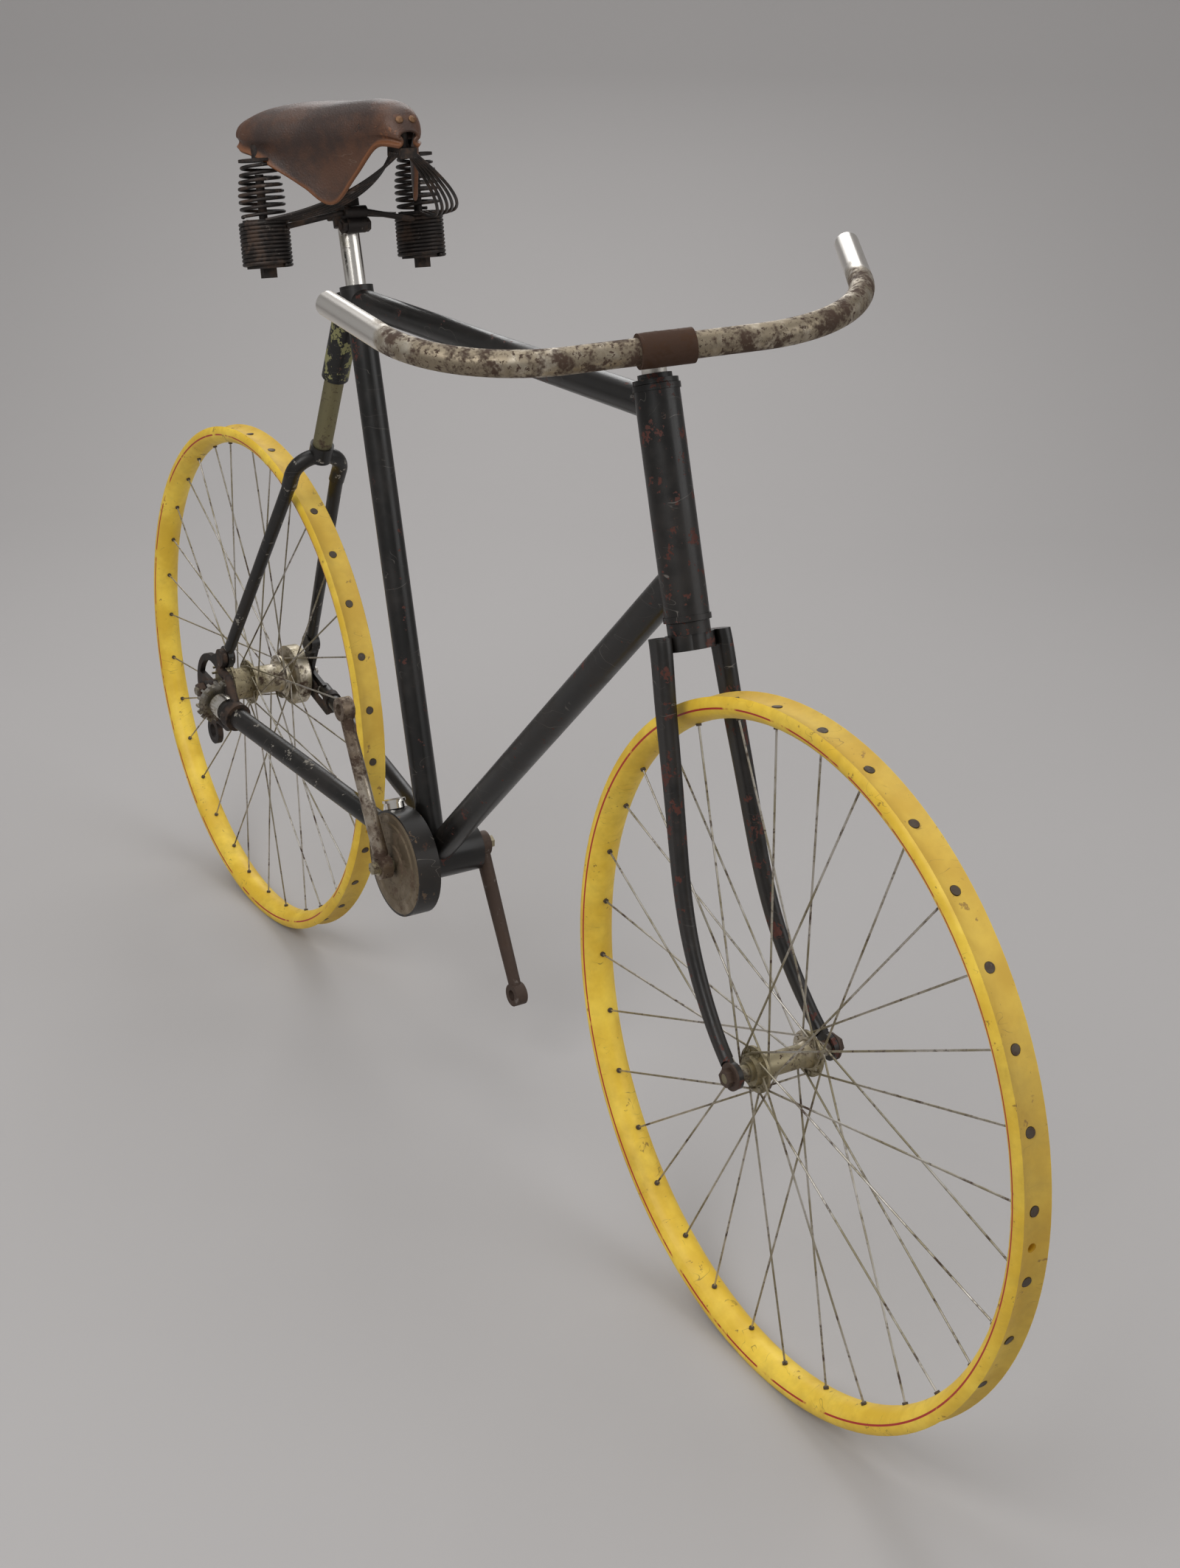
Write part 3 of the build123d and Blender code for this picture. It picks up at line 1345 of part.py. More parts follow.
# saddle clamp: a sleeve on the post with a cross bolt that grips the wires
clamp_middle = post_top - seat_up * (clamp_height / 2)
clamp_radius = post_radius + clamp_sleeve_wall
wire_front = clamp_middle + Vector(clamp_radius + clamp_wire_radius + 0.5, 0, 4)
wire_back = clamp_middle - Vector(clamp_radius + clamp_wire_radius - 1.0, 0, 2)
with BuildPart() as saddle_wires:
    for middle, reach in ((wire_front, 1), (wire_back, -1)):
        for side in (1, -1):
            towards = Vector(reach * 0.75, -side * 0.66, 0)
            landing = unit_point(side, coil_top - 6.5) + towards * (coil_radius - 1.0)
            knee = middle + LEFT * side * 16
            add(round_bar(middle, knee, clamp_wire_radius))
            add(Solid.make_sphere(clamp_wire_radius, Plane(origin=knee)))
            add(round_bar(knee, landing, clamp_wire_radius))
    add(saddle_coils.part, mode=Mode.SUBTRACT)
finish(saddle_wires, "saddle_wires")

with BuildPart() as saddle_clamp:
    add(round_bar(post_top - seat_up * clamp_height, post_top + seat_up * 2, clamp_radius))
    for middle in (wire_front, wire_back):
        add(round_bar(middle - LEFT * 13, middle + LEFT * 13, clamp_wire_radius + 4.0))
    bolt = clamp_middle + Vector(clamp_radius + 5, 0, -9)
    add(round_bar(bolt - LEFT * 17, bolt + LEFT * 17, 4.0))
    add(round_bar(bolt - LEFT * 11, bolt + LEFT * 11, 8.0))
    for side in (1, -1):
        add(hexagon_nut(Plane(origin=bolt + LEFT * side * 11, z_dir=LEFT * side), 13.0, 5.0, 0))
    post_hole = post_radius + running_clearance
    add(round_bar(post_top - seat_up * 60, post_top, post_hole), mode=Mode.SUBTRACT)
    add(saddle_wires.part, mode=Mode.SUBTRACT)
finish(saddle_clamp, "saddle_clamp")
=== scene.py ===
"""Finishes and fine pieces for the shaft-drive bicycle, laid out as an add-on with one operator per job."""

import json
from math import pi, radians

import bmesh
import bpy
import numpy as np
from mathutils import Matrix, Quaternion, Vector


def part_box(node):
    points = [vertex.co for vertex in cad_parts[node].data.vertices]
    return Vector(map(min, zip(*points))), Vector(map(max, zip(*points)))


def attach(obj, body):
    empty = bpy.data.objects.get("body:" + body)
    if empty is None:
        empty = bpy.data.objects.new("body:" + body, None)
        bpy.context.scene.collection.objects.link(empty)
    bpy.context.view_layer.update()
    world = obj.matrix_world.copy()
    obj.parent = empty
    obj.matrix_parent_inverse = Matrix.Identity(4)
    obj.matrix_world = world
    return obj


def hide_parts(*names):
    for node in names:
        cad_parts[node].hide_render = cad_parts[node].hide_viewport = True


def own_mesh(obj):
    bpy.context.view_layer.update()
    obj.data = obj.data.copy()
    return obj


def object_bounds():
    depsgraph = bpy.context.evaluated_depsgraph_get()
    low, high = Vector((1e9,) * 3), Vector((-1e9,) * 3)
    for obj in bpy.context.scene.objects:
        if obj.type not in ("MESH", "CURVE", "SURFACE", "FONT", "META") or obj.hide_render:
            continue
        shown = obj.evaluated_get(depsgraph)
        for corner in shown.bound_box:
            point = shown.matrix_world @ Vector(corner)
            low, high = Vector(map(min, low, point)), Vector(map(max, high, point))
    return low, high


bl_info = {
    "name": "Shaft-drive bicycle",
    "version": (1, 0, 0),
    "blender": (4, 5, 0),
    "location": "View3D > Sidebar > Bicycle",
    "description": "Paint, plating, leather and springs for a shaft-drive bicycle",
    "category": "Object",
}

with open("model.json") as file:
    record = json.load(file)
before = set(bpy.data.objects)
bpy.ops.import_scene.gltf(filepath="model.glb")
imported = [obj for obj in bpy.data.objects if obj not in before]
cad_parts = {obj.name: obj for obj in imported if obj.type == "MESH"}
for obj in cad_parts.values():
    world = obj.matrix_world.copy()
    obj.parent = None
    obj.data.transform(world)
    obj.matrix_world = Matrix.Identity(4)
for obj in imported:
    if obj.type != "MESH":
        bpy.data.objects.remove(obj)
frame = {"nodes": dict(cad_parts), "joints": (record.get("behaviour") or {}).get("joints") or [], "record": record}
cad_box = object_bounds()
JOINTS = {joint["name"]: joint for joint in frame["joints"]}


# ---- sizes and colours that a user would change -------------------------------------------------
def colour(name, description, value):
    """A colour setting."""
    return bpy.props.FloatVectorProperty(
        name=name, description=description, subtype="COLOR", size=3, default=value, min=0.0, max=1.0
    )


def length(name, description, value):
    """A length setting in metres."""
    return bpy.props.FloatProperty(
        name=name, description=description, subtype="DISTANCE", unit="LENGTH", default=value, min=0.0
    )


def share(name, description, value):
    """A setting from none to all."""
    return bpy.props.FloatProperty(
        name=name, description=description, subtype="FACTOR", default=value, min=0.0, max=1.0
    )


class BicycleRimSettings(bpy.types.PropertyGroup):
    """Painted wood rims."""

    paint: colour("Rim paint", "Yellow paint on the wood rims", (0.78, 0.50, 0.035))
    grime: colour("Grime", "Brown stain on the paint", (0.20, 0.10, 0.022))
    stripe: colour("Pinstripe", "Thin line on each side face", (0.42, 0.02, 0.015))
    stripe_radius: length("Pinstripe radius", "From the axle to the line", 0.3125)
    stripe_width: length("Pinstripe width", "Width of the line", 0.0016)
    staining: share("Staining", "How much of the paint is stained", 0.26)


class BicycleEnamelSettings(bpy.types.PropertyGroup):
    """Black enamel of the frame."""

    black: colour("Black enamel", "Top coat", (0.006, 0.0055, 0.005))
    undercoat: colour("Undercoat", "Red-brown coat under the black", (0.075, 0.022, 0.015))
    old_coat: colour("Old coat", "Yellow-green coat under the black", (0.24, 0.23, 0.10))
    chipping: share("Chipping", "How much of the top coat is gone", 0.16)


class BicycleMetalSettings(bpy.types.PropertyGroup):
    """Plated, rusty and bare metal."""

    nickel: colour("Nickel", "Warm plating", (0.66, 0.60, 0.50))
    bright: colour("Bright nickel", "Plating kept bright", (0.82, 0.79, 0.74))
    rust: colour("Rust", "Brown rust through the plating", (0.060, 0.034, 0.021))
    olive: colour("Dull plating", "Plating gone dull and greenish", (0.26, 0.22, 0.12))
    iron: colour("Dark iron", "Blackened iron", (0.035, 0.030, 0.028))
    bronze: colour("Bronze", "Cover disc", (0.34, 0.28, 0.20))
    bright_end: length("Bright bar ends", "How much of each bar end is bright", 0.10)


class BicycleSaddleSettings(bpy.types.PropertyGroup):
    """Leather saddle top and its springs."""

    leather: colour("Leather", "Dark grey-brown leather", (0.034, 0.017, 0.012))
    worn: colour("Worn leather", "Orange-tan where it is rubbed", (0.21, 0.078, 0.028))
    rubbed: colour("Dry leather", "Grey dished seat and skirts", (0.082, 0.062, 0.054))
    thickness: length("Leather thickness", "Thickness of the hide", 0.0042)
    coil_wire: length("Coil wire", "Wire of the close-wound coils", 0.0043)
    spring_wire: length("Spring wire", "Wire of the open springs", 0.0036)
    coil_turns: bpy.props.IntProperty(name="Coil turns", description="Turns of a coil", default=12, min=4)
    spring_turns: bpy.props.FloatProperty(
        name="Spring turns", description="Turns of an open spring", default=7.5, min=2.0
    )


class BicycleStageSettings(bpy.types.PropertyGroup):
    """Camera, light and floor."""

    camera_place: bpy.props.FloatVectorProperty(
        name="Camera place", description="Where the camera stands", subtype="TRANSLATION",
        unit="LENGTH", default=(1.8504, -0.9974, 0.9672),
    )
    camera_aim: bpy.props.FloatVectorProperty(
        name="Camera aim", description="A point at the middle of the view", subtype="TRANSLATION",
        unit="LENGTH", default=(0.2259, 0.0577, 0.1562),
    )
    camera_roll: bpy.props.FloatProperty(
        name="Camera roll", description="Turn about the line of sight", subtype="ANGLE",
        unit="ROTATION", default=radians(1.53),
    )
    lens: bpy.props.FloatProperty(name="Lens", description="Focal length in mm", default=47.5, min=10.0)
    floor: colour("Floor", "Floor and backdrop", (0.47, 0.455, 0.45))


SETTINGS = (
    ("bicycle_rims", BicycleRimSettings),
    ("bicycle_enamel", BicycleEnamelSettings),
    ("bicycle_metal", BicycleMetalSettings),
    ("bicycle_saddle", BicycleSaddleSettings),
    ("bicycle_stage", BicycleStageSettings),
)


# ---- shader nodes -------------------------------------------------------------------------------
def add_node(tree, kind, options=None, **sockets):
    """Add a node. Options are its own settings; sockets are values or links, by name with _ for space."""
    node = tree.nodes.new(kind)
    for key, value in (options or {}).items():
        setattr(node, key, value)
    for key, value in sockets.items():
        name = int(key[1:]) if key[0] == "i" and key[1:].isdigit() else key.replace("_", " ")
        if isinstance(value, bpy.types.NodeSocket):
            tree.links.new(value, node.inputs[name])
        else:
            node.inputs[name].default_value = value
    return node


def maths(tree, operation, first, second=0.0, clamp=False):
    """One sum on two numbers."""
    node = add_node(tree, "ShaderNodeMath", {"operation": operation, "use_clamp": clamp}, i0=first, i1=second)
    return node.outputs[0]


def mix_colour(tree, factor, below, above):
    """Colour above over colour below, where the factor says."""
    node = add_node(tree, "ShaderNodeMix", {"data_type": "RGBA"})
    for name, value in (("Factor", factor), ("A", below), ("B", above)):
        found = [s for s in node.inputs if s.name == name and s.enabled]
        socket = found[0]
        if isinstance(value, bpy.types.NodeSocket):
            tree.links.new(value, socket)
        else:
            socket.default_value = value if name == "Factor" else (*tuple(value)[:3], 1.0)
    return [s for s in node.outputs if s.enabled][0]


def ramp(tree, value, low, high, start=0.0, end=1.0):
    """A number brought from low..high to start..end, smoothly and kept inside."""
    node = add_node(
        tree, "ShaderNodeMapRange", {"interpolation_type": "SMOOTHSTEP"},
        i0=value, i1=low, i2=high, i3=start, i4=end,
    )
    return node.outputs[0]


def noise(tree, vector, scale, detail=4.0, roughness=0.55, distortion=0.0):
    """Cloudy noise, about 0.5 in the middle."""
    node = add_node(
        tree, "ShaderNodeTexNoise", Vector=vector, Scale=scale, Detail=detail,
        Roughness=roughness, Distortion=distortion,
    )
    return node.outputs[0]


def new_group(name, inputs, outputs):
    """An empty shader node group with named inputs and outputs."""
    tree = bpy.data.node_groups.new(name, "ShaderNodeTree")
    for label, kind, value in inputs:
        socket = tree.interface.new_socket(label, in_out="INPUT", socket_type=kind)
        if value is not None:
            socket.default_value = value
    for label, kind in outputs:
        tree.interface.new_socket(label, in_out="OUTPUT", socket_type=kind)
    start = tree.nodes.new("NodeGroupInput")
    end = tree.nodes.new("NodeGroupOutput")
    return tree, start.outputs, end.inputs


VECTOR, FLOAT = "NodeSocketVector", "NodeSocketFloat"


def patches_group():
    """Worn patches: large and small noise added, then cut at a level that covers the share asked for."""
    tree, given, out = new_group(
        "Worn patches",
        (("Vector", VECTOR, None), ("Scale", FLOAT, 20.0), ("Cover", FLOAT, 0.3), ("Edge", FLOAT, 0.03)),
        (("Mask", FLOAT),),
    )
    large = noise(tree, given["Vector"], given["Scale"], 3.0, 0.6)
    small = noise(tree, given["Vector"], maths(tree, "MULTIPLY", given["Scale"], 6.3), 4.0, 0.6)
    both = maths(tree, "ADD", maths(tree, "MULTIPLY", large, 0.7), maths(tree, "MULTIPLY", small, 0.3))
    level = maths(tree, "SUBTRACT", 0.70, maths(tree, "MULTIPLY", given["Cover"], 0.40))
    low = maths(tree, "SUBTRACT", level, given["Edge"])
    high = maths(tree, "ADD", level, given["Edge"])
    tree.links.new(ramp(tree, both, low, high), out["Mask"])
    return tree


def scratches_group():
    """Scratches: the thin lines where a stretched noise passes its middle, broken up by a second noise."""
    tree, given, out = new_group(
        "Fine scratches",
        (("Vector", VECTOR, None), ("Scale", FLOAT, 40.0), ("Width", FLOAT, 0.006)),
        (("Mask", FLOAT),),
    )
    stretched = add_node(
        tree, "ShaderNodeMapping", Vector=given["Vector"], Scale=(1.0, 0.45, 2.2), Rotation=(0.3, 0.7, 0.2)
    )
    field = noise(tree, stretched.outputs[0], given["Scale"], 1.0, 0.4, 0.6)
    line = maths(tree, "ABSOLUTE", maths(tree, "SUBTRACT", field, 0.5))
    thin = ramp(tree, line, 0.0, given["Width"], 1.0, 0.0)
    broken = ramp(tree, noise(tree, given["Vector"], maths(tree, "MULTIPLY", given["Scale"], 0.8)), 0.52, 0.6)
    tree.links.new(maths(tree, "MULTIPLY", thin, broken), out["Mask"])
    return tree


def grain_group():
    """Surface grain: fine noise over coarse noise, as a height from 0 to 1."""
    tree, given, out = new_group(
        "Surface grain",
        (("Vector", VECTOR, None), ("Scale", FLOAT, 300.0), ("Coarse", FLOAT, 0.4)),
        (("Height", FLOAT),),
    )
    fine = noise(tree, given["Vector"], given["Scale"], 5.0, 0.6)
    coarse = noise(tree, given["Vector"], maths(tree, "MULTIPLY", given["Scale"], 0.12), 2.0, 0.5)
    kept = maths(tree, "MULTIPLY", fine, maths(tree, "SUBTRACT", 1.0, given["Coarse"]))
    tree.links.new(maths(tree, "ADD", kept, maths(tree, "MULTIPLY", coarse, given["Coarse"])), out["Height"])
    return tree


def creases_group():
    """Leather creases: the borders between small cells, bent by noise, as a height."""
    tree, given, out = new_group(
        "Leather creases",
        (("Vector", VECTOR, None), ("Scale", FLOAT, 240.0)),
        (("Height", FLOAT), ("Crack", FLOAT)),
    )
    cells = add_node(
        tree, "ShaderNodeTexVoronoi", {"feature": "DISTANCE_TO_EDGE"},
        Vector=given["Vector"], Scale=given["Scale"], Randomness=1.0,
    )
    tree.links.new(ramp(tree, cells.outputs[0], 0.0, 0.35), out["Height"])
    bent = noise(tree, given["Vector"], maths(tree, "MULTIPLY", given["Scale"], 0.09), 2.0, 0.5, 1.2)
    line = maths(tree, "ABSOLUTE", maths(tree, "SUBTRACT", bent, 0.5))
    crack = ramp(tree, line, 0.0, 0.007, 1.0, 0.0)
    gate = ramp(tree, noise(tree, given["Vector"], maths(tree, "MULTIPLY", given["Scale"], 0.05)), 0.58, 0.64)
    tree.links.new(maths(tree, "MULTIPLY", crack, gate), out["Crack"])
    return tree


def wheel_group():
    """Wheel ring: the distance from the axle and from the wheel's middle plane, and a line at one radius."""
    tree, given, out = new_group(
        "Wheel ring",
        (("Vector", VECTOR, None), ("Radius", FLOAT, 0.31), ("Width", FLOAT, 0.001)),
        (("Distance", FLOAT), ("Side", FLOAT), ("Line", FLOAT)),
    )
    split = add_node(tree, "ShaderNodeSeparateXYZ", Vector=given["Vector"]).outputs
    ahead = maths(tree, "MULTIPLY", split[0], split[0])
    rise = maths(tree, "MULTIPLY", split[2], split[2])
    squares = maths(tree, "ADD", ahead, rise)
    away = maths(tree, "SQRT", squares)
    tree.links.new(away, out["Distance"])
    tree.links.new(maths(tree, "ABSOLUTE", split[1]), out["Side"])
    off = maths(tree, "ABSOLUTE", maths(tree, "SUBTRACT", away, given["Radius"]))
    half = maths(tree, "MULTIPLY", given["Width"], 0.5)
    edge = ramp(tree, off, half, maths(tree, "ADD", half, 0.0002), 1.0, 0.0)
    tree.links.new(edge, out["Line"])
    return tree


GROUPS = {}
GROUP_MAKERS = {
    "patches": patches_group,
    "scratches": scratches_group,
    "grain": grain_group,
    "creases": creases_group,
    "wheel": wheel_group,
}


def effect(tree, name, **sockets):
    """Place one of the shared effects in a material and give its outputs."""
    if name not in GROUPS:
        GROUPS[name] = GROUP_MAKERS[name]()
    node = add_node(tree, "ShaderNodeGroup", {"node_tree": GROUPS[name]}, **sockets)
    return node.outputs


def start_material(name):
    """A material with an empty Principled shader, and its object coordinates."""
    material = bpy.data.materials.new(name)
    material.use_nodes = True
    tree = material.node_tree
    tree.nodes.clear()
    shader = tree.nodes.new("ShaderNodeBsdfPrincipled")
    surface = tree.nodes.new("ShaderNodeOutputMaterial")
    tree.links.new(shader.outputs[0], surface.inputs["Surface"])
    coords = tree.nodes.new("ShaderNodeTexCoord").outputs["Object"]
    return material, tree, shader, coords


def finish_material(tree, shader, base, rough, height, depth, metallic=0.0, strength=0.6):
    """Join colour, roughness, metal and bump to the shader."""
    for name, value in (("Base Color", base), ("Roughness", rough), ("Metallic", metallic)):
        if isinstance(value, bpy.types.NodeSocket):
            tree.links.new(value, shader.inputs[name])
        elif name == "Base Color":
            shader.inputs[name].default_value = (*tuple(value)[:3], 1.0)
        else:
            shader.inputs[name].default_value = value
    bump = add_node(tree, "ShaderNodeBump", Strength=strength, Distance=depth, Height=height)
    tree.links.new(bump.outputs[0], shader.inputs["Normal"])


def enamel(name, top, under, chips, brown=0.1, gloss=0.3, metal_edges=0.4):
    """Old enamel: a glossy top coat, brown haze, chips down to the coat below, and fine scratches."""
    material, tree, shader, coords = start_material(name)
    haze = effect(tree, "patches", Vector=coords, Scale=11.0, Cover=brown, Edge=0.12)["Mask"]
    chip = effect(tree, "patches", Vector=coords, Scale=58.0, Cover=chips, Edge=0.006)["Mask"]
    deep = effect(tree, "patches", Vector=coords, Scale=74.0, Cover=chips * metal_edges, Edge=0.006)["Mask"]
    scratch = effect(tree, "scratches", Vector=coords, Scale=26.0, Width=0.004)["Mask"]
    grain = effect(tree, "grain", Vector=coords, Scale=420.0, Coarse=0.5)["Height"]
    dusty = tuple(c * 0.86 + d for c, d in zip(top, (0.014, 0.0105, 0.0085)))
    base = mix_colour(tree, maths(tree, "MULTIPLY", haze, 0.8), top, dusty)
    base = mix_colour(tree, chip, base, under)
    base = mix_colour(tree, deep, base, (0.055, 0.032, 0.024))
    base = mix_colour(tree, maths(tree, "MULTIPLY", scratch, 0.65), base, (0.20, 0.18, 0.16))
    worn = maths(tree, "MAXIMUM", chip, deep)
    rough = maths(tree, "ADD", maths(tree, "MULTIPLY", worn, 0.38), maths(tree, "MULTIPLY", haze, 0.2))
    rough = maths(tree, "ADD", rough, maths(tree, "ADD", gloss, maths(tree, "MULTIPLY", grain, 0.14)))
    height = maths(tree, "SUBTRACT", maths(tree, "MULTIPLY", grain, 0.25), worn)
    finish_material(tree, shader, base, rough, height, 0.00025)
    shader.inputs["Specular IOR Level"].default_value = 0.4
    shader.inputs["Coat Weight"].default_value = 0.12
    shader.inputs["Coat Roughness"].default_value = 0.18
    return material


def plating(
    name, clean, rust, dull, rusted, dulled, rough=0.24, bright_from=None, bright=None, reach=0.2, ragged=0.05
):
    """Old plating: clean metal, dull stained areas, and rust that breaks through in pits and patches.

    Where bright_from is given, the metal is bright and clean farther than reach from that point.
    """
    material, tree, shader, coords = start_material(name)
    grain = effect(tree, "grain", Vector=coords, Scale=650.0, Coarse=0.35)["Height"]
    kept = 1.0
    metal = clean
    if bright_from is not None:
        away = add_node(tree, "ShaderNodeVectorMath", {"operation": "DISTANCE"}, i0=coords, i1=bright_from)
        wander = maths(tree, "MULTIPLY", maths(tree, "SUBTRACT", noise(tree, coords, 45.0), 0.5), ragged)
        distance = maths(tree, "ADD", away.outputs["Value"], wander)
        end = ramp(tree, distance, reach - ragged * 0.2, reach + ragged * 0.2)
        metal = mix_colour(tree, end, clean, bright)
        kept = maths(tree, "SUBTRACT", 1.0, end)
    stain = effect(tree, "patches", Vector=coords, Scale=13.0, Cover=dulled, Edge=0.10)["Mask"]
    patch = effect(tree, "patches", Vector=coords, Scale=48.0, Cover=rusted, Edge=0.07)["Mask"]
    pits = effect(tree, "patches", Vector=coords, Scale=210.0, Cover=rusted * 0.75, Edge=0.02)["Mask"]
    pits = maths(tree, "MULTIPLY", pits, ramp(tree, stain, 0.0, 0.7, 0.35, 1.0))
    decay = maths(tree, "MAXIMUM", patch, pits)
    stain = maths(tree, "MULTIPLY", stain, kept)
    decay = maths(tree, "MULTIPLY", decay, kept)
    scratch = effect(tree, "scratches", Vector=coords, Scale=60.0, Width=0.005)["Mask"]
    base = mix_colour(tree, maths(tree, "MULTIPLY", stain, 0.8), metal, dull)
    base = mix_colour(tree, decay, base, rust)
    base = mix_colour(tree, maths(tree, "MULTIPLY", scratch, 0.3), base, (0.22, 0.19, 0.16))
    shine = maths(tree, "ADD", rough, maths(tree, "MULTIPLY", grain, 0.12))
    shine = maths(tree, "ADD", shine, maths(tree, "MULTIPLY", stain, 0.18))
    shine = maths(tree, "ADD", shine, maths(tree, "MULTIPLY", decay, 0.34), clamp=True)
    metallic = maths(tree, "SUBTRACT", 1.0, maths(tree, "MULTIPLY", decay, 0.85), clamp=True)
    height = maths(tree, "ADD", maths(tree, "MULTIPLY", grain, 0.2), maths(tree, "MULTIPLY", decay, 0.5))
    finish_material(tree, shader, base, shine, height, 0.00018, metallic)
    return material


def ironwork(name, iron, rust, rusted, rough=0.5, metallic=0.75):
    """Blackened or rusty iron: dark metal with a rough brown bloom."""
    material, tree, shader, coords = start_material(name)
    grain = effect(tree, "grain", Vector=coords, Scale=520.0, Coarse=0.4)["Height"]
    bloom = effect(tree, "patches", Vector=coords, Scale=40.0, Cover=rusted, Edge=0.09)["Mask"]
    rubbed = effect(tree, "patches", Vector=coords, Scale=85.0, Cover=0.16, Edge=0.03)["Mask"]
    base = mix_colour(tree, bloom, iron, rust)
    base = mix_colour(tree, maths(tree, "MULTIPLY", rubbed, 0.6), base, (0.20, 0.17, 0.15))
    shine = maths(tree, "ADD", rough, maths(tree, "MULTIPLY", bloom, 0.25))
    shine = maths(tree, "ADD", shine, maths(tree, "MULTIPLY", grain, 0.15), clamp=True)
    metal = maths(tree, "MULTIPLY", maths(tree, "SUBTRACT", 1.0, bloom), metallic)
    height = maths(tree, "ADD", grain, maths(tree, "MULTIPLY", bloom, 0.6))
    finish_material(tree, shader, base, shine, height, 0.0003, metal)
    return material


# how far from the axle the tyre bed starts, and how far from the wheel's middle plane it ends
BED_EDGE = (0.3162, 0.3182)
BED_SIDE = (0.0128, 0.0136)
# how far from the wheel's middle plane the painted line starts
STRIPE_SIDE = (0.0120, 0.0128)


def rim_paint(name, joint, settings):
    """Rim paint in the wheel's own directions: stained yellow, a line each side, old glue in the bed."""
    material, tree, shader, coords = start_material(name)
    axis = Vector(joint["axis"])
    turn = Vector((0, 1, 0)).rotation_difference(axis).to_euler()
    local = add_node(
        tree, "ShaderNodeMapping", {"vector_type": "TEXTURE"},
        Vector=coords, Location=tuple(joint["pos_m"]), Rotation=tuple(turn),
    ).outputs[0]
    ring = effect(tree, "wheel", Vector=local, Radius=settings.stripe_radius, Width=settings.stripe_width)
    outward = ramp(tree, ring["Side"], *STRIPE_SIDE)
    line = maths(tree, "MULTIPLY", ring["Line"], outward)
    worn_line = maths(tree, "MULTIPLY", line, ramp(tree, noise(tree, coords, 25.0), 0.36, 0.44))
    haze = effect(tree, "patches", Vector=coords, Scale=9.0, Cover=settings.staining, Edge=0.16)["Mask"]
    fewer = settings.staining * 0.55
    spots = effect(tree, "patches", Vector=coords, Scale=52.0, Cover=fewer, Edge=0.02)["Mask"]
    scuff = effect(tree, "scratches", Vector=coords, Scale=48.0, Width=0.007)["Mask"]
    grain = effect(tree, "grain", Vector=coords, Scale=260.0, Coarse=0.5)["Height"]
    bed = maths(
        tree, "MULTIPLY", ramp(tree, ring["Distance"], *BED_EDGE),
        ramp(tree, ring["Side"], *BED_SIDE, 1.0, 0.0),
    )
    pale = tuple(min(1.0, c * 1.35 + 0.03) for c in settings.paint)
    base = mix_colour(tree, ramp(tree, noise(tree, coords, 18.0), 0.35, 0.65), settings.paint, pale)
    base = mix_colour(tree, maths(tree, "MULTIPLY", haze, 0.45), base, settings.grime)
    base = mix_colour(tree, maths(tree, "MULTIPLY", spots, 0.75), base, settings.grime)
    base = mix_colour(tree, maths(tree, "MULTIPLY", scuff, 0.6), base, (0.05, 0.03, 0.02))
    base = mix_colour(tree, maths(tree, "MULTIPLY", bed, 0.35), base, (0.33, 0.20, 0.09))
    base = mix_colour(tree, worn_line, base, settings.stripe)
    rough = maths(tree, "ADD", 0.42, maths(tree, "MULTIPLY", grain, 0.12))
    dull = maths(tree, "MULTIPLY", maths(tree, "MAXIMUM", haze, bed), 0.2)
    rough = maths(tree, "ADD", rough, dull, clamp=True)
    height = maths(tree, "SUBTRACT", maths(tree, "MULTIPLY", grain, 0.5), maths(tree, "MULTIPLY", spots, 0.5))
    finish_material(tree, shader, base, rough, height, 0.00025)
    return material


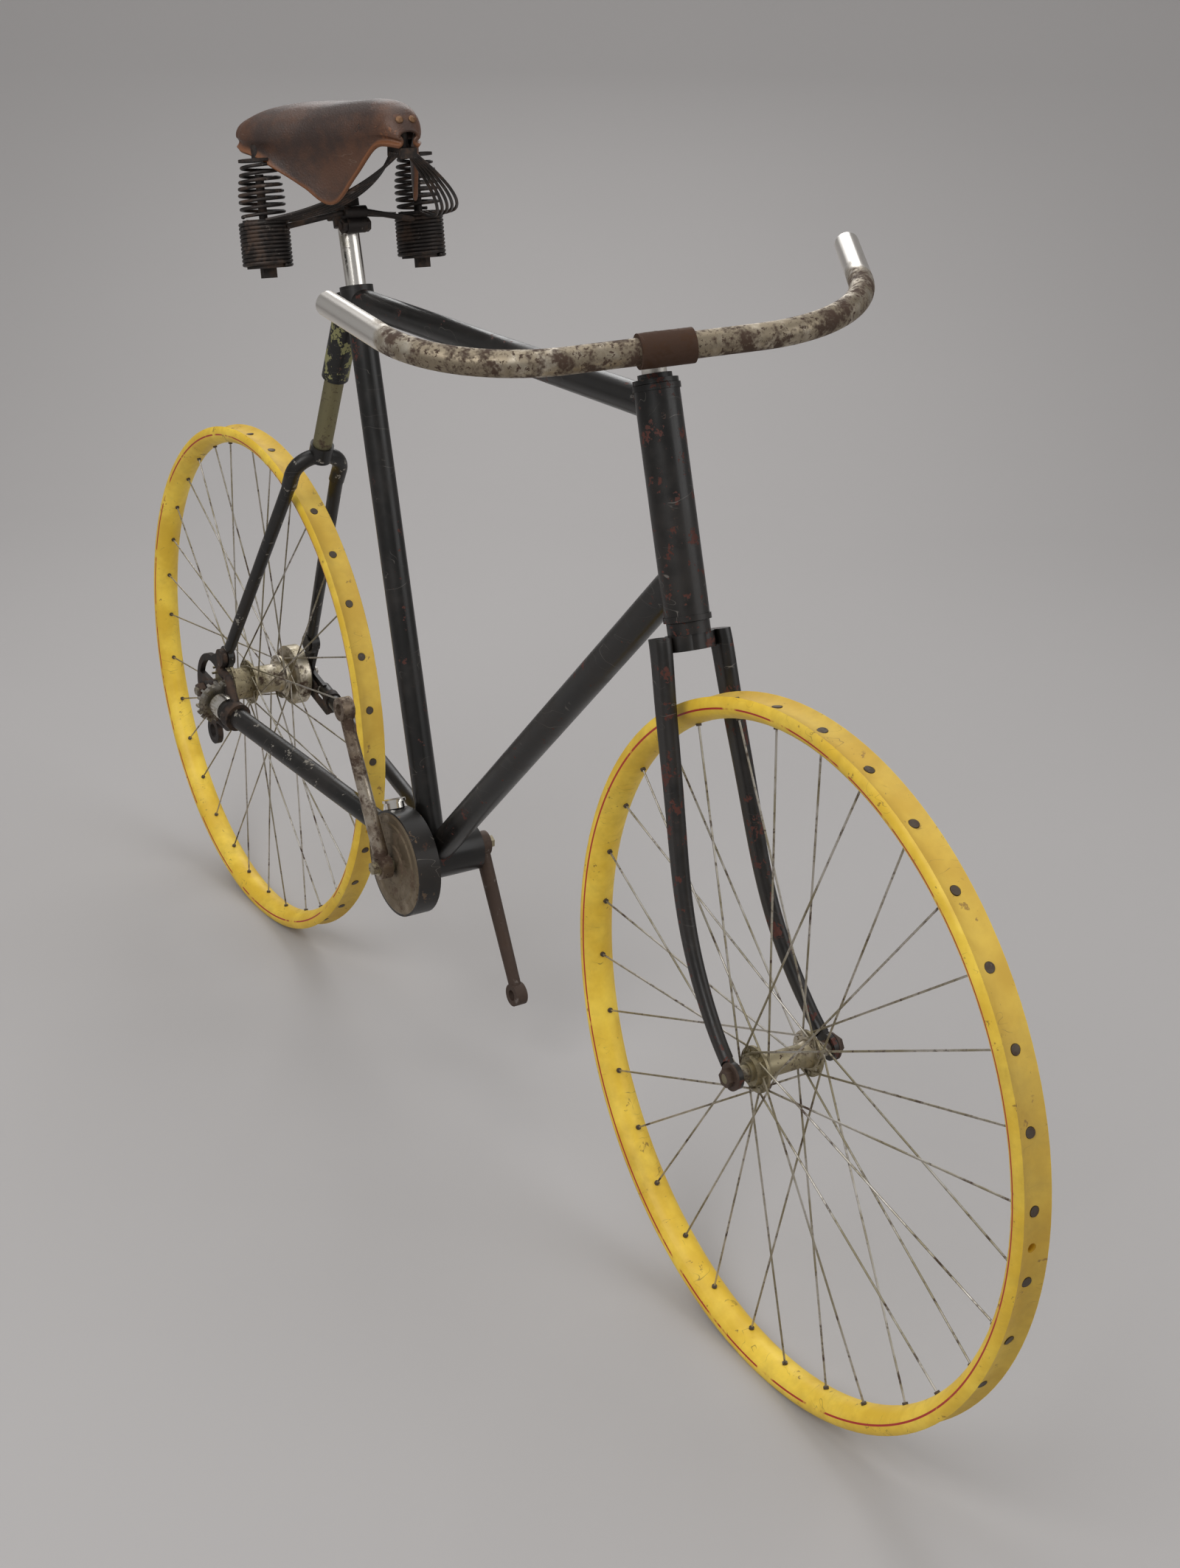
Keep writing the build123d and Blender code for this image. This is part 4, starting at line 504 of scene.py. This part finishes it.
def leather_finish(name, settings):
    """Old hide: rubbed grey where it is sat on, tan at the hem and nose, fine creases and short cracks."""
    material, tree, shader, coords = start_material(name)
    hem = add_node(tree, "ShaderNodeAttribute", {"attribute_name": "hem"}).outputs["Fac"]
    seat = add_node(tree, "ShaderNodeAttribute", {"attribute_name": "seat"}).outputs["Fac"]
    nose = add_node(tree, "ShaderNodeAttribute", {"attribute_name": "nose"}).outputs["Fac"]
    cloud = noise(tree, coords, 26.0, 5.0, 0.6)
    blotch = effect(tree, "patches", Vector=coords, Scale=16.0, Cover=0.42, Edge=0.12)["Mask"]
    crease = effect(tree, "creases", Vector=coords, Scale=300.0)
    rub = effect(tree, "patches", Vector=coords, Scale=70.0, Cover=0.35, Edge=0.03)["Mask"]
    scratch = effect(tree, "scratches", Vector=coords, Scale=30.0, Width=0.010)["Mask"]
    brown = tuple(0.55 * a + 0.45 * b for a, b in zip(settings.leather, settings.worn))
    base = mix_colour(tree, maths(tree, "MULTIPLY", blotch, 0.65), settings.leather, brown)
    sat_on = maths(tree, "MULTIPLY", maths(tree, "MULTIPLY", seat, cloud), 0.95)
    base = mix_colour(tree, sat_on, base, settings.rubbed)
    ragged = maths(tree, "ADD", hem, maths(tree, "MULTIPLY", maths(tree, "SUBTRACT", cloud, 0.5), 0.7))
    rubbed_nose = maths(tree, "MULTIPLY", nose, ramp(tree, rub, 0.0, 1.0, 0.35, 1.0))
    tan = maths(tree, "MAXIMUM", ramp(tree, ragged, 0.45, 0.9), rubbed_nose)
    base = mix_colour(tree, maths(tree, "MULTIPLY", tan, 0.85), base, settings.worn)
    base = mix_colour(tree, maths(tree, "MULTIPLY", scratch, 0.35), base, (0.24, 0.18, 0.14))
    base = mix_colour(tree, crease["Crack"], base, (0.015, 0.009, 0.006))
    rough = maths(tree, "ADD", 0.36, maths(tree, "MULTIPLY", cloud, 0.28), clamp=True)
    dents = maths(tree, "MULTIPLY", noise(tree, coords, 60.0, 3.0), 0.6)
    height = maths(tree, "ADD", maths(tree, "MULTIPLY", crease["Height"], 0.22), dents)
    height = maths(tree, "SUBTRACT", height, crease["Crack"])
    finish_material(tree, shader, base, rough, height, 0.0009, strength=0.55)
    return material


# ---- surfaces -----------------------------------------------------------------------------------
def grid_faces(rows, columns, wrap_rows=False, wrap_columns=False):
    """Quads that join each point of a grid to its neighbours, in whole arrays."""
    r = np.arange(rows if wrap_rows else rows - 1)
    c = np.arange(columns if wrap_columns else columns - 1)
    r, c = np.meshgrid(r, c, indexing="ij")
    r1, c1 = (r + 1) % rows, (c + 1) % columns
    quads = np.stack([r * columns + c, r * columns + c1, r1 * columns + c1, r1 * columns + c], -1)
    return quads.reshape(-1, 4)


def surface(name, points, wrap_rows=False, wrap_columns=False, caps=False):
    """A mesh object from a grid of points, with flat ends where asked, and its faces turned outwards."""
    rows, columns = points.shape[:2]
    faces = grid_faces(rows, columns, wrap_rows, wrap_columns).tolist()
    if caps:
        faces.append(list(range(columns)))
        faces.append(list(range((rows - 1) * columns, rows * columns)))
    mesh = bpy.data.meshes.new(name)
    mesh.from_pydata(points.reshape(-1, 3).tolist(), [], faces)
    shape = bmesh.new()
    shape.from_mesh(mesh)
    bmesh.ops.recalc_face_normals(shape, faces=shape.faces)
    shape.to_mesh(mesh)
    shape.free()
    mesh.polygons.foreach_set("use_smooth", np.ones(len(mesh.polygons), bool))
    mesh.update()
    piece = bpy.data.objects.new(name, mesh)
    bpy.context.scene.collection.objects.link(piece)
    return piece


def unit(vectors):
    """Each vector made one long."""
    return vectors / np.linalg.norm(vectors, axis=-1, keepdims=True)


def tube(name, path, radius, around, side):
    """A round wire along a path.

    At each point of the path, a circle of this radius lies across the path's direction. One of the
    circle's axes is the direction crossed with the side vector, and the other is square to both.
    """
    tangent = unit(np.gradient(path, axis=0))
    first = unit(np.cross(tangent, np.asarray(side, float)))
    second = np.cross(tangent, first)
    angle = np.linspace(0.0, 2 * pi, around, endpoint=False)
    ring = np.cos(angle)[None, :, None] * first[:, None] + np.sin(angle)[None, :, None] * second[:, None]
    return surface(name, path[:, None] + radius * ring, wrap_columns=True, caps=True)


def axis_frame(up):
    """Two directions square to an axis, the first as near as possible to forward."""
    up = unit(np.asarray(up, float))
    ahead = unit(np.array((1.0, 0.0, 0.0)) - up * up[0])
    return up, ahead, np.cross(up, ahead)


def winding(foot, up, radii, rise, turns, steps_per_turn, phase):
    """Points of a winding.

    The angle grows evenly with the share of the way up, from the phase through all the turns. Each
    point lies on the axis at the height that rise gives for its share, moved out by the radius that
    radii gives for it, towards the angle's cosine ahead and its sine to the left.
    """
    up, ahead, left = axis_frame(up)
    share_up = np.linspace(0.0, 1.0, int(turns * steps_per_turn) + 1)
    angle = 2 * pi * turns * share_up + phase
    radius = radii(share_up)[:, None]
    circle = np.cos(angle)[:, None] * ahead + np.sin(angle)[:, None] * left
    return np.asarray(foot, float) + radius * circle + rise(share_up)[:, None] * up


def smooth_through(stations, values, places):
    """Values between stations: each span is a cubic whose end slopes come from the neighbours."""
    stations, values = np.asarray(stations, float), np.asarray(values, float)
    slopes = np.gradient(values, stations)
    span = np.clip(np.searchsorted(stations, places) - 1, 0, len(stations) - 2)
    width = stations[span + 1] - stations[span]
    t = (places - stations[span]) / width
    start, end = values[span], values[span + 1]
    start_slope, end_slope = slopes[span] * width, slopes[span + 1] * width
    from_start = (2 * t**3 - 3 * t**2 + 1) * start + (t**3 - 2 * t**2 + t) * start_slope
    return from_start + (3 * t**2 - 2 * t**3) * end + (t**3 - t**2) * end_slope


def give_material(piece, material):
    """Put one material on a new piece."""
    piece.data.materials.clear()
    piece.data.materials.append(material)
    return piece


def paint_nodes(material, *names):
    """Put one material on CAD nodes."""
    for name in names:
        node = frame["nodes"][name]
        if not node.material_slots:
            node.data.materials.append(material)
        for place in node.material_slots:
            place.material = material


def attribute(piece, name, values):
    """Give a mesh a number at each point."""
    layer = piece.data.attributes.new(name, "FLOAT", "POINT")
    layer.data.foreach_set("value", np.asarray(values, np.float32).ravel())


# ---- operators ----------------------------------------------------------------------------------
class BICYCLE_OT_rims(bpy.types.Operator):
    """Paint the two wood rims and finish the spokes and nipples."""

    bl_idname = "bicycle.rims"
    bl_label = "Painted rims and spokes"

    def execute(self, context):
        rims, metal = context.scene.bicycle_rims, context.scene.bicycle_metal
        paint_nodes(rim_paint("Front rim paint", JOINTS["front_wheel_spin"], rims), "front_rim")
        paint_nodes(rim_paint("Rear rim paint", JOINTS["rear_wheel_spin"], rims), "rear_rim")
        spokes = plating("Spoke steel", (0.55, 0.52, 0.47), metal.rust, metal.olive, 0.30, 0.5, rough=0.34)
        paint_nodes(spokes, "front_spokes", "rear_spokes")
        nipples = ironwork("Nipple steel", (0.11, 0.09, 0.07), metal.rust, 0.35, rough=0.45)
        paint_nodes(nipples, "front_nipples", "rear_nipples")
        return {"FINISHED"}


class BICYCLE_OT_enamel(bpy.types.Operator):
    """Finish the black enamelled frame, fork and stays."""

    bl_idname = "bicycle.enamel"
    bl_label = "Black enamel"

    def execute(self, context):
        coat = context.scene.bicycle_enamel
        black, red, green = coat.black, coat.undercoat, coat.old_coat
        paint_nodes(
            enamel("Frame enamel", black, red, coat.chipping, 0.35, 0.24),
            "top_tube", "down_tube", "seat_tube", "seat_lug", "bottom_bracket_shell",
        )
        paint_nodes(enamel("Head tube enamel", black, red, 0.30, 0.5, 0.22), "head_tube", "head_cap")
        paint_nodes(enamel("Fork enamel", black, red, 0.30, 0.5, 0.24), "fork_blades", "fork_crown")
        paint_nodes(enamel("Cushion cylinder enamel", black, green, 0.40, 0.3, 0.3), "cushion_cylinder")
        paint_nodes(
            enamel("Stay enamel", black, (0.24, 0.22, 0.19), 0.22, 0.4, 0.26),
            "seat_stays", "left_chain_stay", "drive_tube",
        )
        paint_nodes(enamel("Gear case enamel", black, (0.12, 0.08, 0.05), 0.24, 0.45, 0.32), "gear_housing")
        return {"FINISHED"}


class BICYCLE_OT_plating(bpy.types.Operator):
    """Finish the nickel-plated pieces, from bright post to rusted bar."""

    bl_idname = "bicycle.plating"
    bl_label = "Nickel plating"

    def execute(self, context):
        metal = context.scene.bicycle_metal
        clamp = Vector(JOINTS["bar_tilt"]["pos_m"])
        tips = frame["record"]["mounts"]
        reach = min((Vector(m["pos_m"]) - clamp).length for m in tips if m["name"].endswith("grip_end"))
        bar = plating(
            "Bar plating", metal.nickel, metal.rust, (0.20, 0.155, 0.095), 0.44, 0.72, 0.24,
            bright_from=tuple(clamp), bright=metal.bright, reach=reach - metal.bright_end * 0.5,
        )
        paint_nodes(bar, "handlebar")
        bright = plating("Bright nickel", metal.bright, metal.rust, metal.olive, 0.08, 0.28, 0.14)
        paint_nodes(bright, "seat_post", "stem_bolt", "oil_plug", "drive_tube_collar", "head_races")
        worn = plating("Worn nickel", metal.nickel, metal.rust, metal.olive, 0.30, 0.6, 0.26)
        paint_nodes(worn, "front_hub", "rear_hub", "seat_bolt", "crank_bolts", "hub_gear")
        plunger = plating(
            "Plunger plating", (0.46, 0.42, 0.30), metal.rust, (0.20, 0.18, 0.09), 0.28, 0.9, 0.34
        )
        paint_nodes(plunger, "plunger")
        crank = plating(
            "Crank plating", (0.60, 0.54, 0.45), metal.rust, (0.14, 0.09, 0.055), 0.38, 0.65, 0.24
        )
        paint_nodes(crank, "right_crank")
        paint_nodes(
            plating("Bare steel", (0.42, 0.40, 0.37), metal.rust, metal.olive, 0.35, 0.5, 0.34),
            "front_axle", "rear_axle", "front_cones", "rear_cones", "crank_spindle", "drive_shaft",
            "front_pinion", "rear_pinion", "crank_gear", "bottom_bracket_cups",
        )
        return {"FINISHED"}


class BICYCLE_OT_ironwork(bpy.types.Operator):
    """Finish the dark iron, the rusted clamp and nuts, the bronze cover and the rubber block."""

    bl_idname = "bicycle.ironwork"
    bl_label = "Iron, bronze and rubber"

    def execute(self, context):
        metal = context.scene.bicycle_metal
        paint_nodes(
            ironwork("Dark iron", metal.iron, metal.rust, 0.38),
            "loop_bracket", "brake_arm", "brake_clip", "saddle_rods", "saddle_wires", "saddle_clamp",
            "saddle_frame",
        )
        paint_nodes(
            ironwork("Rusted steel", (0.085, 0.056, 0.042), (0.055, 0.033, 0.023), 0.6, 0.42, 0.6),
            "left_crank", "front_axle_nuts", "rear_axle_nuts",
        )
        clamp = JOINTS["bar_tilt"]["pos_m"]
        stem = plating(
            "Stem steel", (0.105, 0.056, 0.036), (0.060, 0.030, 0.018), (0.085, 0.050, 0.034), 0.5, 0.6, 0.42,
            bright_from=tuple(clamp), bright=metal.bright, reach=0.0295, ragged=0.002,
        )
        paint_nodes(stem, "handlebar_stem")
        cover = plating(
            "Cover bronze", metal.bronze, (0.10, 0.065, 0.04), (0.19, 0.15, 0.10), 0.30, 0.7, 0.28
        )
        paint_nodes(cover, "cover_disc")
        rubber = ironwork("Block rubber", (0.02, 0.02, 0.02), (0.05, 0.045, 0.04), 0.3, 0.7, 0.0)
        block = give_material(merged_copy("cushion_block", "cushion_rubber"), rubber)
        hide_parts("cushion_block")
        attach(block, "frame")
        slide = JOINTS["stays_slide"]
        up = np.array(slide["axis"])
        heights = node_points("cushion_block") @ up
        top = node_points("cushion_block")[heights.argmax()]
        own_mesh(block)
        return {"FINISHED"}


# saddle outline: places along it as shares of its length from the rear, then at each place the half
# width as a share of the widest, and the crown, shoulder and hem as shares of the whole height
SADDLE_PLACES = (0.0, 0.05, 0.14, 0.33, 0.51, 0.665, 0.765, 0.865, 0.945, 1.0)
SADDLE_HALF = (0.50, 0.86, 0.985, 0.885, 0.645, 0.475, 0.360, 0.262, 0.190, 0.115)
SADDLE_CROWN = (0.640, 0.760, 0.865, 0.950, 0.980, 1.000, 0.998, 0.975, 0.895, 0.745)
SADDLE_SHOULDER = (0.560, 0.545, 0.530, 0.545, 0.585, 0.620, 0.645, 0.690, 0.690, 0.665)
SADDLE_HEM = (0.505, 0.455, 0.435, 0.330, 0.115, 0.0, 0.275, 0.575, 0.620, 0.610)


class BICYCLE_OT_leather(bpy.types.Operator):
    """Make the saddle's hide, with its dished seat, deep skirts and rivets.

    The hide is a grid over its length and its width. From the middle out to the fold, the width turns
    through a quarter circle: its sine gives the distance from the middle plane and its cosine the
    height from shoulder to crown. Past the fold the skirt drops evenly from the shoulder to the hem,
    drawn in a little halfway. A bell-shaped dip dishes the seat.
    """

    bl_idname = "bicycle.leather"
    bl_label = "Saddle leather"

    def execute(self, context):
        settings = context.scene.bicycle_saddle
        low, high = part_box("saddle_leather")
        along, across = 110, 97  # points from rear to nose, and from hem to hem
        s = np.linspace(0.0, 1.0, along)
        t = np.linspace(-1.0, 1.0, across)
        tall = high.z - low.z
        half = smooth_through(SADDLE_PLACES, SADDLE_HALF, s) * (high.y - low.y) / 2
        crown = low.z + smooth_through(SADDLE_PLACES, SADDLE_CROWN, s) * tall
        shoulder = low.z + smooth_through(SADDLE_PLACES, SADDLE_SHOULDER, s) * tall
        hem = low.z + smooth_through(SADDLE_PLACES, SADDLE_HEM, s) * tall
        fold = 0.66  # the share of the width, from the middle, that arches before the skirt starts
        arch = np.clip(np.abs(t) / fold, 0.0, 1.0) * pi / 2
        drop = np.clip((np.abs(t) - fold) / (1.0 - fold), 0.0, 1.0)
        side = np.sign(t)
        tuck = 0.0035 * np.sin(pi * drop)
        y = half[:, None] * (np.sin(arch) ** 0.92 * side)[None] - (tuck * side)[None]
        z = shoulder[:, None] + (crown - shoulder)[:, None] * (np.cos(arch) ** 0.80)[None]
        z = z - (shoulder - hem)[:, None] * drop[None]
        dish_along = np.exp(-(((s - 0.42) / 0.24) ** 2))[:, None]
        dish_across = np.exp(-((np.abs(t) / 0.34) ** 2))[None]
        z = z - 0.0055 * dish_along * dish_across
        ripple = 0.0009 * np.sin(31.0 * s)[:, None] * np.cos(9.0 * t)[None]
        y = y + ripple * drop[None] * side[None]
        x = np.broadcast_to((low.x + s * (high.x - low.x))[:, None], y.shape)
        hide = surface("saddle_hide", np.stack([x, y, z], -1))
        face_up(hide)
        hem_share = np.clip(1.0 - (z - hem[:, None]) / 0.012, 0.0, 1.0)
        seat_along = np.exp(-(((s - 0.40) / 0.28) ** 2))[:, None]
        seat_share = seat_along * np.clip(1.25 - np.abs(t) / fold, 0.0, 1.0)[None]
        skirt_share = 0.55 * np.exp(-(((s - 0.62) / 0.20) ** 2))[:, None] * drop[None]
        nose_along = np.clip((s - 0.84) / 0.10, 0.0, 1.0)[:, None]
        nose_share = nose_along * np.clip(np.abs(t) / 0.45, 0.25, 1.0)[None]
        attribute(hide, "hem", hem_share)
        attribute(hide, "seat", np.maximum(seat_share, skirt_share))
        attribute(hide, "nose", nose_share)
        wall = hide.modifiers.new("Hide thickness", "SOLIDIFY")
        wall.thickness = settings.thickness
        wall.offset = -1.0
        soft = hide.modifiers.new("Soft edges", "SUBSURF")
        soft.levels = soft.render_levels = 1
        give_material(hide, leather_finish("Saddle leather", settings))
        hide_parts("saddle_leather")
        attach(hide, "saddle_top")
        rivet = plating(
            "Rivet copper", (0.45, 0.27, 0.16), (0.06, 0.035, 0.02), (0.16, 0.09, 0.05), 0.3, 0.6, 0.35
        )
        spots = [(4, c) for c in (22, 35, 48, 61, 74)] + [(along - 5, c) for c in (40, 56)]
        points = np.stack([x, y, z], -1)
        for number, (row, column) in enumerate(spots):
            right = points[row + 1, column] - points[row - 1, column]
            left = points[row, column + 1] - points[row, column - 1]
            out = unit(np.cross(right, left))
            head = dome(f"saddle_rivet_{number + 1}", points[row, column], out, 0.0042, 0.0022)
            give_material(head, rivet)
            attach(head, "saddle_top")
        return {"FINISHED"}


def face_up(piece):
    """Turn an open sheet's faces so that they look up and out."""
    mesh = piece.data
    normals = np.zeros(len(mesh.polygons) * 3, np.float32)
    mesh.polygons.foreach_get("normal", normals)
    if normals.reshape(-1, 3)[:, 2].sum() < 0:
        mesh.flip_normals()


def dome(name, centre, out, radius, height, rows=6, columns=14):
    """A rivet head: rings that rise evenly, each as wide as the root of one less its rise squared."""
    up, ahead, left = axis_frame(out) if abs(out[0]) < 0.9 else (out, *side_axes(out))
    rise = np.linspace(0.0, 1.0, rows)
    wide = np.sqrt(np.clip(1.0 - rise**2, 0.0004, 1.0)) * radius
    angle = np.linspace(0.0, 2 * pi, columns, endpoint=False)
    circle = np.cos(angle)[:, None] * ahead + np.sin(angle)[:, None] * left
    points = centre + wide[:, None, None] * circle[None] + (rise * height)[:, None, None] * up
    return surface(name, points, wrap_columns=True, caps=True)


def side_axes(out):
    """Two directions square to one that points nearly forward."""
    first = unit(np.cross(out, np.array((0.0, 0.0, 1.0))))
    return first, np.cross(out, first)


class BICYCLE_OT_springs(bpy.types.Operator):
    """Wind the saddle's close coils and open springs, and put a smooth-shaded copy of the nose wires in place of
    the CAD ones.
    """

    bl_idname = "bicycle.springs"
    bl_label = "Saddle springs"

    def execute(self, context):
        settings, metal = context.scene.bicycle_saddle, context.scene.bicycle_metal
        iron = ironwork("Spring wire", metal.iron, metal.rust, 0.34, rough=0.36)
        bounce = JOINTS["saddle_bounce"]
        up = np.array(bounce["axis"])
        coil_radius = axis_radius("saddle_coils")
        spring_radius = axis_radius("saddle_springs")
        for side, word in ((1.0, "left"), (-1.0, "right")):
            foot, tip = unit_ends("saddle_coils", side, up)
            wire = settings.coil_wire / 2
            tall = tip - foot
            path = winding(
                unit_axis("saddle_coils", side, up, foot + wire), up,
                lambda q: np.full_like(q, coil_radius - wire),
                lambda q: q * (tall - 2 * wire), settings.coil_turns - 0.5, 44, 0.4,
            )
            coil = tube(f"saddle_coil_{word}", path, wire, 12, side=up)
            give_material(coil, iron)
            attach(coil, "saddle_base")
            if word == "left":
                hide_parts("saddle_coils")
            start, end = unit_ends("saddle_springs", side, up)
            thin = settings.spring_wire / 2
            rise = end - start
            path = winding(
                unit_axis("saddle_springs", side, up, start + thin), up,
                lambda q: (spring_radius - thin) * barrel(q),
                lambda q: (rise - 2 * thin) * (q + 0.012 * np.sin(2 * pi * q)),
                settings.spring_turns, 40, 2.2 * side,
            )
            spring = tube(f"saddle_spring_{word}", path, thin, 12, side=up)
            give_material(spring, iron)
            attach(spring, "saddle_base")
            anchor = unit_axis("saddle_springs", side, up, start)
            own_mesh(spring)
            if word == "left":
                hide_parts("saddle_springs")
        wires = merged_copy("nose_wires", "saddle_nose_wires")
        give_material(wires, iron)
        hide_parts("nose_wires")
        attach(wires, "saddle_base")
        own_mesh(wires)
        return {"FINISHED"}


def barrel(q):
    """How wide an open spring is at a share of its height: a sine bulge low down that narrows to the top."""
    return 0.86 + 0.14 * np.sin(pi * np.clip(q * 0.82 + 0.22, 0, 1)) - 0.10 * q**3


def node_points(name):
    """Every point of a CAD node, as an array."""
    mesh = frame["nodes"][name].data
    points = np.zeros(len(mesh.vertices) * 3, np.float32)
    mesh.vertices.foreach_get("co", points)
    return points.reshape(-1, 3).astype(float)


def side_points(name, side):
    """The points of a CAD node on the left or the right."""
    points = node_points(name)
    return points[points[:, 1] * side > 0]


def unit_ends(name, side, up):
    """How far along the axis the points on one side start and end."""
    heights = side_points(name, side) @ up
    return heights.min(), heights.max()


def unit_axis(name, side, up, height):
    """The point of a spring unit's axis at a height: the middle of the points square to the axis."""
    points = side_points(name, side)
    flat = points - (points @ up)[:, None] * up
    return (flat.min(0) + flat.max(0)) / 2 + height * up


def axis_radius(name):
    """The radius of a spring unit: half its width from left to right."""
    points = side_points(name, 1.0)
    return (points[:, 1].max() - points[:, 1].min()) / 2


def merged_copy(node, name):
    """A copy of a CAD node's mesh with its points joined and its shading smooth over soft edges."""
    mesh = frame["nodes"][node].data.copy()
    mesh.name = name
    shape = bmesh.new()
    shape.from_mesh(mesh)
    bmesh.ops.remove_doubles(shape, verts=shape.verts, dist=1e-6)
    shape.to_mesh(mesh)
    shape.free()
    mesh.polygons.foreach_set("use_smooth", np.ones(len(mesh.polygons), bool))
    piece = bpy.data.objects.new(name, mesh)
    bpy.context.scene.collection.objects.link(piece)
    return piece


class BICYCLE_OT_stage(bpy.types.Operator):
    """Set the camera, the floor and soft light."""

    bl_idname = "bicycle.stage"
    bl_label = "Camera, floor and light"

    def execute(self, context):
        settings = context.scene.bicycle_stage
        place, aim = Vector(settings.camera_place), Vector(settings.camera_aim)
        camera = bpy.data.objects.new("Camera", bpy.data.cameras.new("Camera"))
        camera.data.sensor_fit = "VERTICAL"
        camera.data.sensor_height = 36.0
        camera.data.lens = settings.lens
        turn = (aim - place).to_track_quat("-Z", "Y") @ Quaternion((0, 0, 1), settings.camera_roll)
        camera.matrix_world = Matrix.Translation(place) @ turn.to_matrix().to_4x4()
        context.scene.collection.objects.link(camera)
        context.scene.camera = camera
        # the floor runs level under the wheels and sweeps up behind in a quarter circle
        ground = cad_box[0].z
        sweep = np.linspace(0.0, 1.0, 60)
        bend, flat, wall = 1.6, 5.0, 5.0
        run = flat + bend * pi / 2 + wall
        far = sweep * run
        angle = np.clip((far - flat) / bend, 0.0, pi / 2)
        out = np.clip(far, 0.0, flat) + bend * np.sin(angle)
        high = bend * (1.0 - np.cos(angle)) + np.clip(far - flat - bend * pi / 2, 0.0, None)
        away = unit(np.array((aim - place)) * np.array((1.0, 1.0, 0.0)))
        across = np.array((-away[1], away[0], 0.0))
        wide = np.linspace(-7.0, 7.0, 24)
        start = -2.8
        points = (start + out)[:, None, None] * away + wide[None, :, None] * across
        points[..., 2] = ground + high[:, None]
        floor = surface("floor", points)
        face_up(floor)
        material, tree, shader, coords = start_material("Floor")
        darker = tuple(c * 0.965 for c in settings.floor)
        tone = mix_colour(tree, noise(tree, coords, 1.2), settings.floor, darker)
        finish_material(tree, shader, tone, 0.85, noise(tree, coords, 160.0), 0.0002, strength=0.1)
        give_material(floor, material)
        middle = (cad_box[0] + cad_box[1]) / 2
        for name, spot, size, power in (
            ("Key light", (1.2, -2.6, 2.7), 2.2, 62.0),
            ("Fill light", (2.6, 1.8, 1.8), 2.4, 24.0),
            ("Top light", (-0.6, 0.2, 3.2), 3.0, 36.0),
            ("Back light", (-2.4, 1.6, 1.9), 1.6, 20.0),
        ):
            light = bpy.data.lights.new(name, "AREA")
            light.size = size
            light.energy = power
            lamp = bpy.data.objects.new(name, light)
            lamp.location = spot
            lamp.rotation_euler = (middle - Vector(spot)).to_track_quat("-Z", "Y").to_euler()
            context.scene.collection.objects.link(lamp)
        world = bpy.data.worlds.new("Studio")
        world.use_nodes = True
        world.node_tree.nodes["Background"].inputs["Color"].default_value = (0.78, 0.77, 0.765, 1.0)
        world.node_tree.nodes["Background"].inputs["Strength"].default_value = 0.42
        context.scene.world = world
        context.scene.view_settings.view_transform = "Standard"
        return {"FINISHED"}


OPERATORS = (
    BICYCLE_OT_stage,
    BICYCLE_OT_rims,
    BICYCLE_OT_enamel,
    BICYCLE_OT_plating,
    BICYCLE_OT_ironwork,
    BICYCLE_OT_leather,
    BICYCLE_OT_springs,
)


class BICYCLE_PT_panel(bpy.types.Panel):
    """The bicycle's jobs and settings."""

    bl_idname = "BICYCLE_PT_panel"
    bl_label = "Shaft-drive bicycle"
    bl_space_type = "VIEW_3D"
    bl_region_type = "UI"
    bl_category = "Bicycle"

    def draw(self, context):
        for operator in OPERATORS:
            self.layout.operator(operator.bl_idname)
        for name, group in SETTINGS:
            box = self.layout.box()
            box.label(text=group.__doc__)
            for key in group.__annotations__:
                box.prop(getattr(context.scene, name), key)


def register():
    """Register the settings, the operators and the panel."""
    for name, group in SETTINGS:
        bpy.utils.register_class(group)
        setattr(bpy.types.Scene, name, bpy.props.PointerProperty(type=group))
    for operator in OPERATORS:
        bpy.utils.register_class(operator)
    bpy.utils.register_class(BICYCLE_PT_panel)


def unregister():
    """Take them all away again."""
    bpy.utils.unregister_class(BICYCLE_PT_panel)
    for operator in reversed(OPERATORS):
        bpy.utils.unregister_class(operator)
    for name, group in reversed(SETTINGS):
        delattr(bpy.types.Scene, name)
        bpy.utils.unregister_class(group)


def main():
    """Register the settings, operators and panel, then do every job in order."""
    register()
    for operator in OPERATORS:
        group, call = operator.bl_idname.split(".")
        getattr(getattr(bpy.ops, group), call)()


if __name__ == "__main__":
    main()
